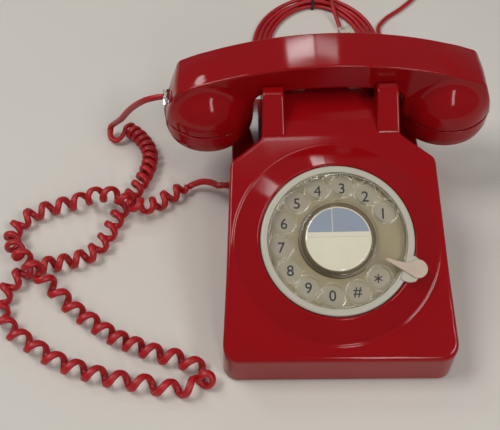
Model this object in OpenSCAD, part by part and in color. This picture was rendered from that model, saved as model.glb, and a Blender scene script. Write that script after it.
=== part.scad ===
/* [Body] */
// Width across the front of the case
body_front_w = 152; // [140:1:170]
// Width of the case at the shoulders and the back
body_rear_w = 140; // [130:1:150]
// Depth of the case, front to back
body_d = 220; // [200:1:240]
// Height of the front lip above the table
lip_h = 32; // [28:1:38]
// Slope of the front face, degrees
face_slope = 23; // [20:0.5:26]
// Distance of the shoulder corners ahead of the back
shoulder_back = 95; // [90:1:100]
// Distance from the back to where the chamfers meet the neck
neck_back = 78.5; // [75:0.5:82]
// Width of the neck between the handset cups
neck_w = 95; // [88:1:98]
// Distance from the back to the end of the sloping face
saddle_back = 72; // [68:1:75]
// Height of the ledge under the handset cups
ledge_h = 52; // [46:1:54]
// Thickness of the case wall
wall = 2.6; // [2:0.1:3.2]
// Radius of the upright front corners
corner_r = 8; // [6:0.5:12]
// Height of the rubber feet under the case
foot_h = 2; // [1.5:0.1:4]
// Radius of a rubber foot
foot_r = 8; // [6:0.5:9]
// Thickness of the steel base plate
base_t = 2; // [1.5:0.1:3]
// Width of the ballast plate
ballast_w = 46; // [40:1:50]
// Depth of the ballast plate, front to back
ballast_d = 36; // [30:1:40]
// Thickness of the ballast plate
ballast_t = 4; // [3:0.5:6]
// Width of the circuit board
board_w = 52; // [45:1:54]
// Depth of the circuit board, front to back
board_d = 62; // [55:1:66]
// Height of the circuit board above the base plate
board_up = 4; // [3:0.5:6]

/* [Cradle] */
// Width of a prong at its foot
prong_w = 16.4; // [13:0.1:18]
// Distance between the two prongs of a pair
prong_gap = 62.2; // [58:0.2:68]
// Rise of the front prongs above the saddle
prong_rise = 15.9; // [13:0.1:19]
// Rise of the rear prongs above the saddle
rear_prong_rise = 14.2; // [11:0.1:17]
// Thickness of a rear prong
rear_prong_t = 8; // [6:0.5:10]
// Room between the handset and each prong
prong_play = 0.6; // [0.4:0.1:1.5]
// Width of a switch plunger
plunger_w = 10; // [8:0.5:12]
// Depth of a switch plunger, front to back
plunger_d = 8; // [6:0.5:10]
// Distance from the middle to each plunger
plunger_x = 21; // [18:0.5:23]
// Length of the shelf that the switch bar slides on
shelf_w = 72; // [70:1:76]
// Depth of the shelf, front to back
shelf_d = 18; // [16:1:18]
// How far the plungers rise when the handset is off
hook_travel = 5; // [3:0.5:6]

/* [Dial] */
// Distance of the dial centre up the face from the front edge
dial_up = 78; // [74:0.5:82]
// Radius of the raised cone at the face
cone_r = 68; // [64:0.5:69.5]
// Height of the raised cone above the face
cone_h = 8.8; // [7:0.1:10]
// Radius of the well that holds the dial
well_r = 50.8; // [49:0.1:52]
// Outer radius of the dial ring
ring_r = 50.2; // [48:0.1:51]
// Inner radius of the dial ring
ring_in_r = 45.6; // [45:0.1:47]
// Height of the dial ring above the face
ring_h = 10.4; // [9.5:0.1:11.5]
// Radius of the finger wheel
wheel_r = 45; // [44:0.1:46]
// Thickness of the finger wheel
wheel_t = 2.2; // [1.8:0.1:3]
// Height of the wheel's top above the face
wheel_top = 9.8; // [9:0.1:10.2]
// Radius of the circle of finger holes
hole_ring_r = 37; // [36:0.1:38]
// Radius of a finger hole
finger_r = 6.8; // [6.2:0.1:7.2]
// Number of finger holes
finger_n = 12; // [10:1:12]
// Angle of the first finger hole, degrees
finger_a0 = 31; // [28:0.5:34]
// Angle between neighbouring finger holes, degrees
finger_step = 26; // [25:0.5:26]
// Radius of the paper label
label_r = 21.7; // [20:0.1:23]
// Thickness of the number plate
plate_t = 1.2; // [1:0.1:2]
// Thickness of the dial frame
frame_t = 2.4; // [2:0.1:3]
// Thickness of the finger stop
stop_t = 1.2; // [1:0.1:1.6]

/* [Dial works] */
// Module of the gear teeth
gear_m = 1; // [0.9:0.05:1.1]
// Teeth on the drive gear
gear_n = 48; // [44:1:50]
// Teeth on the governor pinion
pinion_n = 12; // [12:1:14]
// Play between meshing teeth
gear_play = 0.25; // [0.15:0.05:0.4]
// Radius of the main spindle
spindle_r = 3; // [2.5:0.1:3.5]
// Running clearance of a spindle in its bearing
run = 0.05; // [0.02:0.01:0.1]
// Radius of the spindle's flange under the wheel
flange_r = 8; // [6:0.5:10]
// Radius of the works plate
works_r = 36; // [34:0.5:40]
// Turns of the return spring
spring_turns = 5; // [3:1:6]

/* [Handset] */
// Length of the flat top of the handset
top_l = 214.8; // [205:0.2:222]
// Width of the handle
handle_w = 31; // [27:0.5:34]
// Depth of the handle below its top
handle_h = 23; // [20:0.5:26]
// Rise of the handset's top above the saddle
handset_rise = 32.9; // [31:0.1:35]
// Radius of the handle's arch
arch_r = 289; // [260:1:320]
// Radius of an end cap
cap_r = 31.8; // [29:0.1:32]
// Distance of each cap's centre from the middle
cap_x = 86.8; // [85:0.1:90]
// Drop from the handset's top to the seam between handset and caps
seam_drop = 50.9; // [49:0.1:53]
// Height of an end cap
cap_h = 15.6; // [13:0.2:17]
// Wall of the handset and its caps
handset_wall = 2.6; // [2:0.1:3.2]
// Distance of the handset's middle ahead of the back
handset_back = 32.5; // [31:0.5:34]

/* [Ringer] */
// Radius of a gong
gong_r = 26; // [22:0.5:27]
// Height of a gong
gong_h = 15; // [12:0.5:17]
// Wall of a gong
gong_t = 1.5; // [1:0.1:2]
// Distance of each gong's centre from the middle
gong_x = 34; // [33:0.5:36]
// Distance of the striker's pivot ahead of the gongs' centres
striker_l = 40; // [39:0.5:43]
// Width of the ringer coil
coil_w = 18; // [14:1:20]
// Length of the ringer coil, front to back
coil_l = 14; // [12:1:15]
// Height of the ringer coil
coil_h = 15; // [13:0.5:18]
// Thickness of the ringer bracket
bracket_t = 2; // [1.5:0.1:2]

/* [Cords] */
// Diameter of the curly cord's wire
curl_wire_d = 3; // [2.6:0.1:3.2]
// Radius of the curls at the wire's middle
curl_r = 4.6; // [4:0.1:5]
// Number of curls
curl_n = 56; // [40:1:60]
// Diameter of the line cord
line_d = 3.8; // [3:0.1:4]
// Loops in the line cord's hank
hank_n = 4; // [3:1:5]

/* [Hidden] */
$fn = 72;
eps = 0.01;
red = [0.62, 0.05, 0.08];
cord_red = [0.74, 0.08, 0.14];
cream = [0.80, 0.77, 0.66];
clear = [0.85, 0.87, 0.80, 0.5];
steel = [0.62, 0.63, 0.64];
black = [0.08, 0.08, 0.09];

// ---- derived places on the body ----
front_y = -body_d / 2;
back_y = body_d / 2;
sho_y = back_y - shoulder_back;
nk_y = back_y - neck_back;
sad_y = back_y - saddle_back;
sad_z = lip_h + (sad_y - front_y) * tan(face_slope);
prong_top = sad_z + prong_rise;
rear_prong_top = sad_z + rear_prong_rise;
handset_y = back_y - handset_back;
handset_top = sad_z + handset_rise;
seam_h = handset_top - seam_drop;
taper = (body_front_w - body_rear_w) / 2;
crown_y = back_y - 6;
fit = 0.3;
base_z = foot_h + 0.2;
base_top = base_z + base_t;
screw_r = 1.6;
boss_r = 4;
post_x = body_rear_w / 2 - wall - 7;
post_front_y = front_y + 14;
post_rear_y = back_y - 14;

// ---- derived places on the handset ----
arch_z = handset_top - arch_r;
under_r = arch_r - handle_h;
function top_at(x) = arch_z + sqrt(arch_r * arch_r - x * x);
function under_at(x) = arch_z + sqrt(under_r * under_r - x * x);
top_end_x = top_l / 2;
end_x = cap_x + cap_r - 0.1;
cup_inner_x = cap_x - cap_r - 0.5;
cup_h = top_at(top_end_x) - seam_h + 2;
cup_top_r = 16;
dome_bulge = 1.8;
cap_z = seam_h - cap_h;

// ---- derived places on the dial ----
dial_y = front_y + dial_up * cos(face_slope);
dial_z = lip_h + dial_up * sin(face_slope);
ledge_r = 46;
plate_z = frame_t;
plate_top = frame_t + plate_t;
wheel_z = wheel_top - wheel_t;
stop_z = ring_h + 1.4;
gear_r = gear_m * gear_n / 2;
pinion_r = gear_m * pinion_n / 2;
mesh_d = gear_r + pinion_r;
works_z = -17;
works_t = 1.6;
gear_z = -12;
gear_t = 2.5;
hole_angle = [for (i = [0:finger_n - 1]) finger_a0 + i * finger_step];

// ---- derived places of the hook switch ----
plunger_top = under_at(plunger_x + plunger_w / 2) - 0.3;
bar_z = sad_z - wall - 17;
bar_t = 6;
shelf_z = bar_z - 22;
shelf_t = 4;
guide_x = shelf_w / 2 - 2;

// ---- helpers ----
// Outline pushed inwards by w, corner by corner
function unit(v) = v / norm(v);
function inset(p, w) = let (n = len(p)) [for (i = [0:n - 1])
    let (a = p[(i + n - 1) % n], b = p[i], c = p[(i + 1) % n],
        u = unit(b - a), v = unit(c - b),
        nu = [-u[1], u[0]], nv = [-v[1], v[0]])
    b + w * (nu + nv) / (1 + nu * nv)];

// Upright plan of the sloping front, its shoulders and the neck
plan_upper = [
    [-body_front_w / 2, front_y], [body_front_w / 2, front_y],
    [body_front_w / 2 - taper, sho_y], [neck_w / 2, nk_y], [neck_w / 2, back_y],
    [-neck_w / 2, back_y], [-neck_w / 2, nk_y], [taper - body_front_w / 2, sho_y]];
// Plan of the full-width lower body
plan_lower = [
    [-body_front_w / 2, front_y], [body_front_w / 2, front_y],
    [body_rear_w / 2, sho_y], [body_rear_w / 2, back_y],
    [-body_rear_w / 2, back_y], [-body_rear_w / 2, sho_y]];
// Side profile: lip, sloping face, saddle and back
side_profile = [
    [front_y, foot_h], [back_y, foot_h], [back_y, ledge_h], [crown_y, sad_z],
    [sad_y, sad_z], [front_y, lip_h]];

taper_a = atan(taper / (sho_y - front_y));
corner_x = body_front_w / 2 - corner_r * tan(taper_a) - corner_r / cos(taper_a);

// Rounds one upright corner: the square beyond the corner circle is cut away
module corner_cut(cx, cy, r, sx, sy) {
    translate([cx, cy]) difference() {
        translate([sx > 0 ? 0 : -2 * corner_r, sy > 0 ? 0 : -2 * corner_r]) square(2 * corner_r);
        circle(r);
    }
}

module plan(points, w, rear = false) {
    difference() {
        polygon(inset(points, w));
        for (s = [-1, 1]) {
            corner_cut(s * corner_x, front_y + corner_r, corner_r - w, s, -1);
            if (rear)
                corner_cut(s * (body_rear_w / 2 - corner_r), back_y - corner_r, corner_r - w, s, 1);
        }
    }
}

// Side profile as a solid right across the body
module side_solid(w, drop) {
    rotate([90, 0, 90]) linear_extrude(2 * body_front_w, center = true)
        polygon([for (q = inset(side_profile, w)) q[1] < foot_h + w + 1 ? [q[0], q[1] - drop] : q]);
}

// The body as one solid, pushed in by w; drop opens its underside
module body_solid(w, drop) {
    intersection() {
        side_solid(w, drop);
        union() {
            linear_extrude(3 * body_d, center = true) plan(plan_upper, w);
            translate([0, 0, ledge_h - w - body_d]) linear_extrude(body_d) plan(plan_lower, w, true);
        }
    }
}

// Places its children on the sloping face, at the dial's centre, z out of the face
module on_face() {
    translate([0, dial_y, dial_z]) rotate([face_slope, 0, 0]) children();
}

module at_posts() {
    for (sx = [-1, 1]) for (y = [post_front_y, post_rear_y]) translate([sx * post_x, y, 0]) children();
}

// ---- case ----
// One front prong: a wedge that leans back, its foot on the sloping face
module front_prong(s) {
    back = handset_y - handle_w / 2 - prong_play;
    in_x = prong_gap / 2;
    foot_y = nk_y - 0.3;
    foot_z = lip_h + (foot_y - front_y) * tan(face_slope);
    intersection() {
        rotate([90, 0, 90]) linear_extrude(body_front_w, center = true) polygon([
            [foot_y, foot_z - wall], [foot_y, foot_z], [foot_y + 21.5, prong_top - 1.7],
            [foot_y + 24.5, prong_top - 0.3], [back, prong_top], [back, sad_z - wall]]);
        translate([s * (in_x + prong_w / 2), 0, 0]) rotate([90, 0, 0])
            linear_extrude(2 * body_d, center = true) polygon([
                [-prong_w / 2, sad_z - 8], [prong_w / 2, sad_z - 8],
                [prong_w / 2 - 1, prong_top + 1], [-prong_w / 2 + 1, prong_top + 1]]);
    }
}

module rear_prong(s) {
    front = handset_y + handle_w / 2 + prong_play;
    x = s * (prong_gap / 2 + prong_w / 2);
    translate([x, 0, 0]) rotate([90, 0, 90]) linear_extrude(prong_w - 2, center = true) polygon([
        [front, sad_z - wall], [front, rear_prong_top], [front + 3, rear_prong_top],
        [front + rear_prong_t, sad_z + 4], [front + rear_prong_t, sad_z - wall]]);
}

// Low rest under the handle, its top curved to the handle's underside
module cradle_rest(s) {
    intersection() {
        translate([s * (prong_gap / 2 + 5), handset_y, sad_z + 4])
            cube([8, handle_w - 6, 12], center = true);
        translate([0, 0, arch_z]) rotate([90, 0, 0])
            cylinder(r = under_r - 0.15, h = 3 * body_d, center = true, $fn = 180);
    }
}

module grip_recess(w) {
    translate([0, back_y + 2, ledge_h + 21]) cube([62 + 2 * w, 44 + 2 * w, 22 + 2 * w], center = true);
}

module case_shell() {
    color(red) difference() {
        union() {
            difference() {
                body_solid(0, 0);
                difference() {
                    body_solid(wall, 3 * wall);
                    // screw bosses, the ledge of the dial's well and the grip's lining stay
                    at_posts() translate([0, 0, base_top]) cylinder(r = boss_r, h = body_d);
                    on_face() translate([0, 0, -wall - 1]) cylinder(r = well_r + 3, h = wall + 2);
                    grip_recess(wall);
                }
            }
            on_face() translate([0, 0, -eps]) cylinder(r1 = cone_r, r2 = well_r + 1, h = cone_h);
            for (s = [-1, 1]) {
                front_prong(s);
                rear_prong(s);
                cradle_rest(s);
            }
        }
        on_face() {
            cylinder(r = well_r, h = 3 * cone_h);
            translate([0, 0, -20]) cylinder(r = ledge_r, h = 30);
            for (a = [90, 210, 330]) rotate(a) translate([ledge_r + 2.4, 0, -wall - 2])
                cylinder(r = 0.9, h = wall + 4, $fn = 24);
        }
        grip_recess(0);
        // plunger slots through the saddle
        for (s = [-1, 1]) translate([s * plunger_x, handset_y, sad_z])
            cube([plunger_w + 2 * fit, plunger_d + 2 * fit, 4 * wall], center = true);
        at_posts() translate([0, 0, base_top - eps]) cylinder(r = screw_r, h = 14, $fn = 24);
        // cord holes
        translate([-body_rear_w / 2, cord_exit[1], cord_exit[2]]) rotate([0, 90, 0])
            cylinder(r = grommet_r, h = 4 * wall, center = true);
        translate([gland_x, back_y, gland_z]) rotate([90, 0, 0])
            cylinder(r = gland_r, h = 4 * wall, center = true);
    }
}

// ---- base ----
module base_plate() {
    color([0.2, 0.2, 0.21]) difference() {
        translate([0, 0, base_z]) linear_extrude(base_t) plan(plan_lower, wall + fit, true);
        at_posts() cylinder(r = screw_r + run, h = 20, $fn = 24);
        // sound slots under the gongs
        for (x = [-1.5:1:1.5]) translate([x * 14, handset_y - 15, base_z])
            cube([5, 32, 3 * base_t], center = true);
    }
}

module foot(sx, sy) {
    y = sy < 0 ? front_y + 32 : back_y - 32;
    color(black) translate([sx * (post_x - 3), y, 0]) {
        cylinder(r1 = foot_r - 0.6, r2 = foot_r, h = 0.6);
        translate([0, 0, 0.6]) cylinder(r = foot_r, h = base_z - 0.6);
    }
}
module foot_front_left() { foot(-1, -1); }
module foot_front_right() { foot(1, -1); }
module foot_rear_left() { foot(-1, 1); }
module foot_rear_right() { foot(1, 1); }

module case_screw(sx, y) {
    color(steel) translate([sx * post_x, y, 0]) difference() {
        union() {
            translate([0, 0, base_z - 1.4]) cylinder(r = 3, h = 1.4);
            translate([0, 0, base_z - eps]) cylinder(r = screw_r - run, h = 12, $fn = 24);
        }
        translate([0, 0, base_z - 1.4]) cube([4.4, 0.8, 1.2], center = true);
    }
}
module case_screw_fl() { case_screw(-1, post_front_y); }
module case_screw_fr() { case_screw(1, post_front_y); }
module case_screw_rl() { case_screw(-1, post_rear_y); }
module case_screw_rr() { case_screw(1, post_rear_y); }

module ballast_plate() {
    color(steel) translate([6, front_y + 20, base_top]) cube([ballast_w, ballast_d, ballast_t]);
}

board_y = front_y + 16;
board_t = 1.6;
board_z = base_top + board_up;
module main_board() {
    color([0.1, 0.35, 0.2]) {
        translate([-board_w, board_y, board_z]) cube([board_w, board_d, board_t]);
        // stand-offs moulded on the board
        for (x = [5 - board_w, -5]) for (y = [5, board_d - 5]) translate([x, board_y + y, base_top])
            cylinder(r = 2.5, h = board_up + eps);
        for (i = [0:3]) translate([8 - board_w + 9 * i, board_y + 22, board_z + board_t]) cube([5, 10, 3]);
        translate([12 - board_w, board_y + board_d - 20, board_z + board_t]) cube([16, 12, 5]);
    }
}
module board_capacitor() {
    color([0.15, 0.2, 0.35]) translate([-14, board_y + board_d - 14, board_z + board_t]) cylinder(r = 5, h = 12);
}
module terminal_block() {
    color(cream) difference() {
        translate([4 - board_w, board_y + 5, board_z + board_t]) cube([36, 9, 8]);
        for (i = [0:4]) translate([7.5 - board_w + 7 * i, board_y + 9.5, board_z + 5])
            cylinder(r = 1.8, h = 10, $fn = 24);
    }
}

// ---- ringer ----
gong_z = base_top + 6;
gong_y = handset_y - 15.5;
pivot_y = gong_y - striker_l;
module ringer_bracket() {
    color(steel) difference() {
        union() {
            translate([-gong_x - 8, gong_y - 6, base_top]) cube([2 * gong_x + 16, 12, bracket_t]);
            translate([-8, pivot_y - coil_l - 14, base_top]) cube([16, coil_l + 22, bracket_t]);
            translate([-5, pivot_y - 6, base_top]) cube([10, striker_l, bracket_t]);
            for (s = [-1, 1]) translate([s * gong_x, gong_y, base_top])
                cylinder(r = 3.5, h = gong_z + gong_h - gong_t - base_top);
            translate([0, pivot_y, base_top]) cylinder(r = 2, h = 14);
        }
        for (s = [-1, 1]) translate([s * gong_x, gong_y, base_top + 4]) cylinder(r = 1.5, h = 60);
    }
}
// Bell-shaped gong, open below
module gong(s) {
    in_r = gong_r - gong_t;
    color([0.72, 0.66, 0.45]) translate([s * gong_x, gong_y, gong_z]) rotate_extrude() difference() {
        intersection() {
            union() {
                square([gong_r, gong_h * 0.5]);
                translate([0, gong_h * 0.5]) intersection() {
                    translate([gong_r - gong_h * 0.5, 0]) circle(gong_h * 0.5);
                    square([gong_r, gong_h]);
                }
                square([gong_r - gong_h * 0.5, gong_h]);
            }
            square([gong_r, gong_h]);
        }
        translate([0, -eps]) square([in_r, gong_h * 0.5 + eps]);
        translate([0, gong_h * 0.5 - eps]) square([gong_r - gong_h * 0.5, gong_h * 0.5 - gong_t + eps]);
        translate([gong_r - gong_h * 0.5, gong_h * 0.5]) circle(gong_h * 0.5 - gong_t);
        square([1.5 + run, 3 * gong_h]);
    }
}
module gong_left() { gong(-1); }
module gong_right() { gong(1); }
module gong_screw(s) {
    color(steel) translate([s * gong_x, gong_y, gong_z + gong_h]) {
        cylinder(r = 3.5, h = 2);
        translate([0, 0, -9]) cylinder(r = 1.5 - run, h = 9 + eps, $fn = 24);
    }
}
module gong_screw_left() { gong_screw(-1); }
module gong_screw_right() { gong_screw(1); }
module ringer_coil() {
    color([0.62, 0.32, 0.16]) difference() {
        translate([-coil_w / 2, pivot_y - coil_l - 12, base_top + bracket_t]) cube([coil_w, coil_l, coil_h]);
        translate([0, pivot_y - coil_l / 2 - 12, base_top + bracket_t + coil_h + 1])
            cube([7, 2 * coil_l + 2, 6], center = true);
    }
}
// Armature and striker, swinging about its upright pin
module ringer_striker() {
    color(steel) translate([0, pivot_y, base_top + 7]) difference() {
        union() {
            cylinder(r = 4, h = 3);
            translate([-1, 0, 0.5]) cube([2, striker_l - 6, 2]);
            translate([0, striker_l - 5, 1.5]) sphere(r = 4);
            translate([-4, -9, 0]) cube([8, 8, 3]);
        }
        translate([0, 0, -5]) cylinder(r = 2 + run, h = 15);
    }
}

// ---- hook switch ----
module hook_guide() {
    post_z = bar_z + bar_t + hook_travel + 2;
    color([0.75, 0.75, 0.72]) difference() {
        union() {
            translate([-5, handset_y - 5, base_top + 2]) cube([10, 10, shelf_z - base_top - 2]);
            translate([-shelf_w / 2, handset_y - shelf_d / 2, shelf_z]) cube([shelf_w, shelf_d, shelf_t]);
            for (s = [-1, 1]) translate([s * guide_x - 2, handset_y - 7, shelf_z])
                cube([4, 14, post_z - shelf_z]);
            translate([-9, handset_y - 7, base_top]) cube([18, 14, 2 + eps]);
        }
        // slot in each post that the bar's ends slide in
        for (s = [-1, 1]) translate([s * guide_x, handset_y, bar_z + (bar_t + hook_travel) / 2])
            cube([5, 6 + 2 * fit, bar_t + hook_travel + 2 * fit], center = true);
    }
}
module hook_bar() {
    color(cream) {
        translate([2.5 - guide_x, handset_y - 4, bar_z]) cube([2 * guide_x - 5, 8, bar_t]);
        for (s = [-1, 1]) {
            translate([s * plunger_x - plunger_w / 2, handset_y - plunger_d / 2, bar_z])
                cube([plunger_w, plunger_d, plunger_top - bar_z]);
            translate([s * (guide_x - 1) - 2.5, handset_y - 3, bar_z]) cube([5, 6, bar_t]);
        }
    }
}
spring_r = 3.4;
spring_len = bar_z - shelf_z - shelf_t;
module hook_spring() {
    color(steel) tube([for (i = [0:6 * 8])
        let (a = 45 * i)
        [spring_r * cos(a), handset_y + spring_r * sin(a),
            shelf_z + shelf_t + 0.6 + (spring_len - 1.2) * i / 48]], 0.5, 6);
}
module hook_switch() {
    color(black) difference() {
        translate([8, handset_y - 4, shelf_z + shelf_t]) cube([14, 8, spring_len - 2]);
        translate([15, handset_y, shelf_z + shelf_t + 5]) rotate([90, 0, 0])
            cylinder(r = 1.2, h = 20, center = true, $fn = 24);
    }
}

// ---- dial, seen along its own axis ----
// Rivet that holds the finger stop to its tab
stop_at = [48.6, -21.6];
module stop_rivet(r, z, h) {
    translate([stop_at[0], stop_at[1], z]) cylinder(r = r, h = h, $fn = 24);
}
module dial_frame() {
    color(steel) on_face() difference() {
        union() {
            cylinder(r = well_r - fit, h = frame_t);
            translate([0, 0, works_z + 8]) cylinder(r = 6, h = -works_z - 8 + eps);
            for (a = [40, 140, 220, 320]) rotate(a) translate([34, 0, works_z + works_t])
                cylinder(r = 3, h = -works_z - works_t + eps);
        }
        translate([0, 0, works_z]) cylinder(r = spindle_r + run, h = 40);
        for (a = [90, 210, 330]) rotate(a) translate([ledge_r + 2.4, 0, -eps])
            cylinder(r = 1.1, h = 3 * frame_t, $fn = 24);
        // bearing of the governor pinion
        translate([0, mesh_d, -eps]) cylinder(r = 1.5 + run, h = frame_t - 0.6, $fn = 36);
    }
}
module number_plate() {
    color(cream) on_face() translate([0, 0, plate_z]) difference() {
        cylinder(r = ring_in_r - fit, h = plate_t);
        translate([0, 0, -eps]) cylinder(r = 9, h = 2 * plate_t);
    }
}
module dial_ring() {
    color(cream) on_face() difference() {
        union() {
            translate([0, 0, plate_z]) cylinder(r = ring_r, h = ring_h - plate_z - 1.2);
            translate([0, 0, ring_h - 1.2 - eps]) cylinder(r1 = ring_r, r2 = ring_r - 1.2, h = 1.2 + eps);
            // rounded tab that carries the finger stop
            translate([0, 0, cone_h + 0.4]) linear_extrude(stop_z - cone_h - 0.4)
                polygon([[44, -9], [49.4, -10], [52.4, -13], [53, -18], [52, -25], [49, -28.6],
                    [44.6, -29.4], [39, -27.6]]);
        }
        translate([0, 0, -eps]) cylinder(r = ring_in_r, h = 3 * ring_h);
        stop_rivet(1.2, ring_h - 1, 5);
    }
}
module finger_stop() {
    color([0.74, 0.64, 0.58]) on_face() {
        translate([0, 0, stop_z]) linear_extrude(stop_t) {
            translate([50.2, -19.6]) circle(6);
            translate([31, -12.4]) circle(0.7, $fn = 24);
            polygon([[30.7, -11.8], [37, -14.2], [42, -15.6], [46, -15.3], [50.2, -13.6],
                [50.2, -25.6], [46.5, -24.4], [30.6, -12.9]]);
        }
        stop_rivet(1.15, stop_z - 1.6, 1.6 + eps);
    }
}
module works_plate() {
    color(steel) on_face() translate([0, 0, works_z]) difference() {
        union() {
            cylinder(r = works_r, h = works_t);
            translate([0, mesh_d, 0]) cylinder(r = 13, h = works_t);
            // post that holds the outer end of the return spring
            translate([spring_r0 + spring_pitch * spring_turns + 1.5, 0, works_t - eps])
                cylinder(r = 0.9, h = 2.6, $fn = 24);
        }
        translate([0, 0, -eps]) cylinder(r = spindle_r + run, h = 5);
        translate([0, mesh_d, -eps]) cylinder(r = 1.5 + run, h = 5, $fn = 36);
    }
}
// Flat spiral spring round the spindle, its outer end on a frame leg
spring_r0 = spindle_r + 4.2;
spring_pitch = 1.7;
module return_spring() {
    r0 = spring_r0;
    pitch = spring_pitch;
    t = 0.5;
    steps = spring_turns * 24;
    line = [for (i = [0:steps]) let (a = 15 * i, r = r0 + pitch * i / 24) [r * cos(a), r * sin(a)]];
    back = [for (i = [0:steps]) let (j = steps - i, a = 15 * j, r = r0 + t + pitch * j / 24)
        [r * cos(a), r * sin(a)]];
    color(steel) on_face() translate([0, 0, works_z + works_t]) linear_extrude(2.6)
        polygon(concat(line, back));
}
module governor_cup() {
    color(steel) on_face() translate([0, mesh_d, -7.4]) difference() {
        cylinder(r = 11.5, h = 7.4);
        translate([0, 0, -eps]) cylinder(r = 10.3, h = 6);
        cylinder(r = 1.5 + fit, h = 20);
    }
}
module pulse_contacts() {
    color([0.75, 0.6, 0.3]) on_face() {
        translate([14, mesh_d - 3, works_z + works_t]) cube([8, 6, 4]);
        translate([4.6, mesh_d - 0.2, works_z + works_t + 0.4]) cube([10, 0.4, 2]);
        translate([6.4, mesh_d + 1.6, works_z + works_t + 0.4]) cube([8, 0.4, 2]);
    }
}

// Everything below turns with the finger wheel
module finger_wheel() {
    color(clear) on_face() difference() {
        translate([0, 0, wheel_z]) cylinder(r = wheel_r, h = wheel_t);
        for (a = hole_angle) rotate(a) translate([hole_ring_r, 0, 0])
            cylinder(r = finger_r, h = 3 * wheel_top);
        translate([0, 0, -eps]) cylinder(r = spindle_r + 0.02, h = wheel_top - 0.8);
    }
}
module dial_label() {
    color([0.84, 0.81, 0.72]) on_face() translate([0, 0, wheel_top]) cylinder(r = label_r, h = 0.3);
}
module label_cover() {
    color(clear) on_face() translate([0, 0, wheel_top + 0.3]) cylinder(r = label_r, h = 0.6);
}
module label_ring() {
    color([0.7, 0.68, 0.6]) on_face() translate([0, 0, wheel_top]) difference() {
        union() {
            cylinder(r = label_r + 2.8, h = 0.6);
            translate([0, 0, 0.6]) cylinder(r1 = label_r + 2.8, r2 = label_r + 2, h = 0.8);
        }
        translate([0, 0, -eps]) cylinder(r = label_r + 0.05, h = 3);
    }
}
module main_spindle() {
    color(steel) on_face() {
        translate([0, 0, works_z - 0.6]) cylinder(r = spindle_r, h = wheel_top - 0.9 - works_z + 0.6);
        // flange that carries the wheel
        translate([0, 0, plate_top + 0.6]) cylinder(r = flange_r, h = wheel_z - plate_top - 0.6);
    }
}
// Involute tooth flank, module mod and pressure angle pa
function inv_pt(rb, u) = [rb * (cos(u) + u * PI / 180 * sin(u)), rb * (sin(u) - u * PI / 180 * cos(u))];
function inv_at(rb, r) = sqrt(r * r / (rb * rb) - 1) * 180 / PI;
module gear_2d(n, phase) {
    pa = 25;
    rp = gear_m * n / 2;
    rb = rp * cos(pa);
    ra = rp + 0.8 * gear_m;
    rr = rp - 1.05 * gear_m;
    half = 90 / n - gear_play / rp * 45 / PI;
    up = inv_at(rb, rp);
    skew = half + atan2(inv_pt(rb, up)[1], inv_pt(rb, up)[0]);
    u0 = rr > rb ? inv_at(rb, rr) : 0;
    u1 = inv_at(rb, ra);
    flank = [for (i = [0:4]) inv_pt(rb, u0 + (u1 - u0) * i / 4)];
    tooth = concat([[rr - 0.4, 0]], rr > rb ? [] : [[rr, 0]], flank);
    union() {
        circle(rr);
        for (k = [0:n - 1]) rotate(phase + 360 * k / n)
            polygon(concat(
                [for (q = tooth) [q[0] * cos(skew) + q[1] * sin(skew), -q[0] * sin(skew) + q[1] * cos(skew)]],
                [for (i = [0:len(tooth) - 1]) let (q = tooth[len(tooth) - 1 - i])
                    [q[0] * cos(skew) + q[1] * sin(skew), q[0] * sin(skew) - q[1] * cos(skew)]]));
    }
}
module drive_gear() {
    color([0.8, 0.68, 0.35]) on_face() translate([0, 0, gear_z]) difference() {
        union() {
            linear_extrude(gear_t) gear_2d(gear_n, 90);
            cylinder(r = 5, h = gear_t);
        }
        translate([0, 0, -eps]) cylinder(r = spindle_r + 0.02, h = 8);
    }
}
module governor_pinion() {
    color([0.8, 0.68, 0.35]) on_face() translate([0, mesh_d, 0]) {
        translate([0, 0, gear_z - 0.3]) linear_extrude(gear_t + 0.6)
            gear_2d(pinion_n, -90 + 180 / pinion_n);
        translate([0, 0, works_z - 0.4]) cylinder(r = 1.5, h = -works_z + 0.4 + frame_t - 0.9, $fn = 36);
        // pulse cam
        translate([0, 0, works_z + works_t + 0.4]) cylinder(r = 4, h = 2);
    }
}
module governor_rotor() {
    color([0.8, 0.68, 0.35]) on_face() translate([0, mesh_d, -6.6]) difference() {
        union() {
            cylinder(r = 4, h = 4);
            for (s = [-1, 1]) translate([s * 6.2, 0, 1.5]) cylinder(r = 2.8, h = 2.5);
            translate([-6, -1, 1.5]) cube([12, 2, 2]);
        }
        translate([0, 0, -eps]) cylinder(r = 1.52, h = 9, $fn = 36);
    }
}

// ---- handset ----
// Front view of the handset above the seam, as a solid of depth d
module handset_profile(w, d) {
    translate([0, handset_y, 0]) intersection() {
        rotate([90, 0, 0]) linear_extrude(d, center = true) polygon([
            [-end_x + w, seam_h - 1], [end_x - w, seam_h - 1], [end_x - w, seam_h],
            [top_end_x - w, top_at(top_end_x)], [top_end_x - w, handset_top + 5],
            [w - top_end_x, handset_top + 5], [w - top_end_x, top_at(top_end_x)],
            [w - end_x, seam_h]]);
        translate([0, 0, arch_z]) rotate([90, 0, 0])
            cylinder(r = arch_r - w, h = d + 2, center = true, $fn = 360);
    }
}
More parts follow.
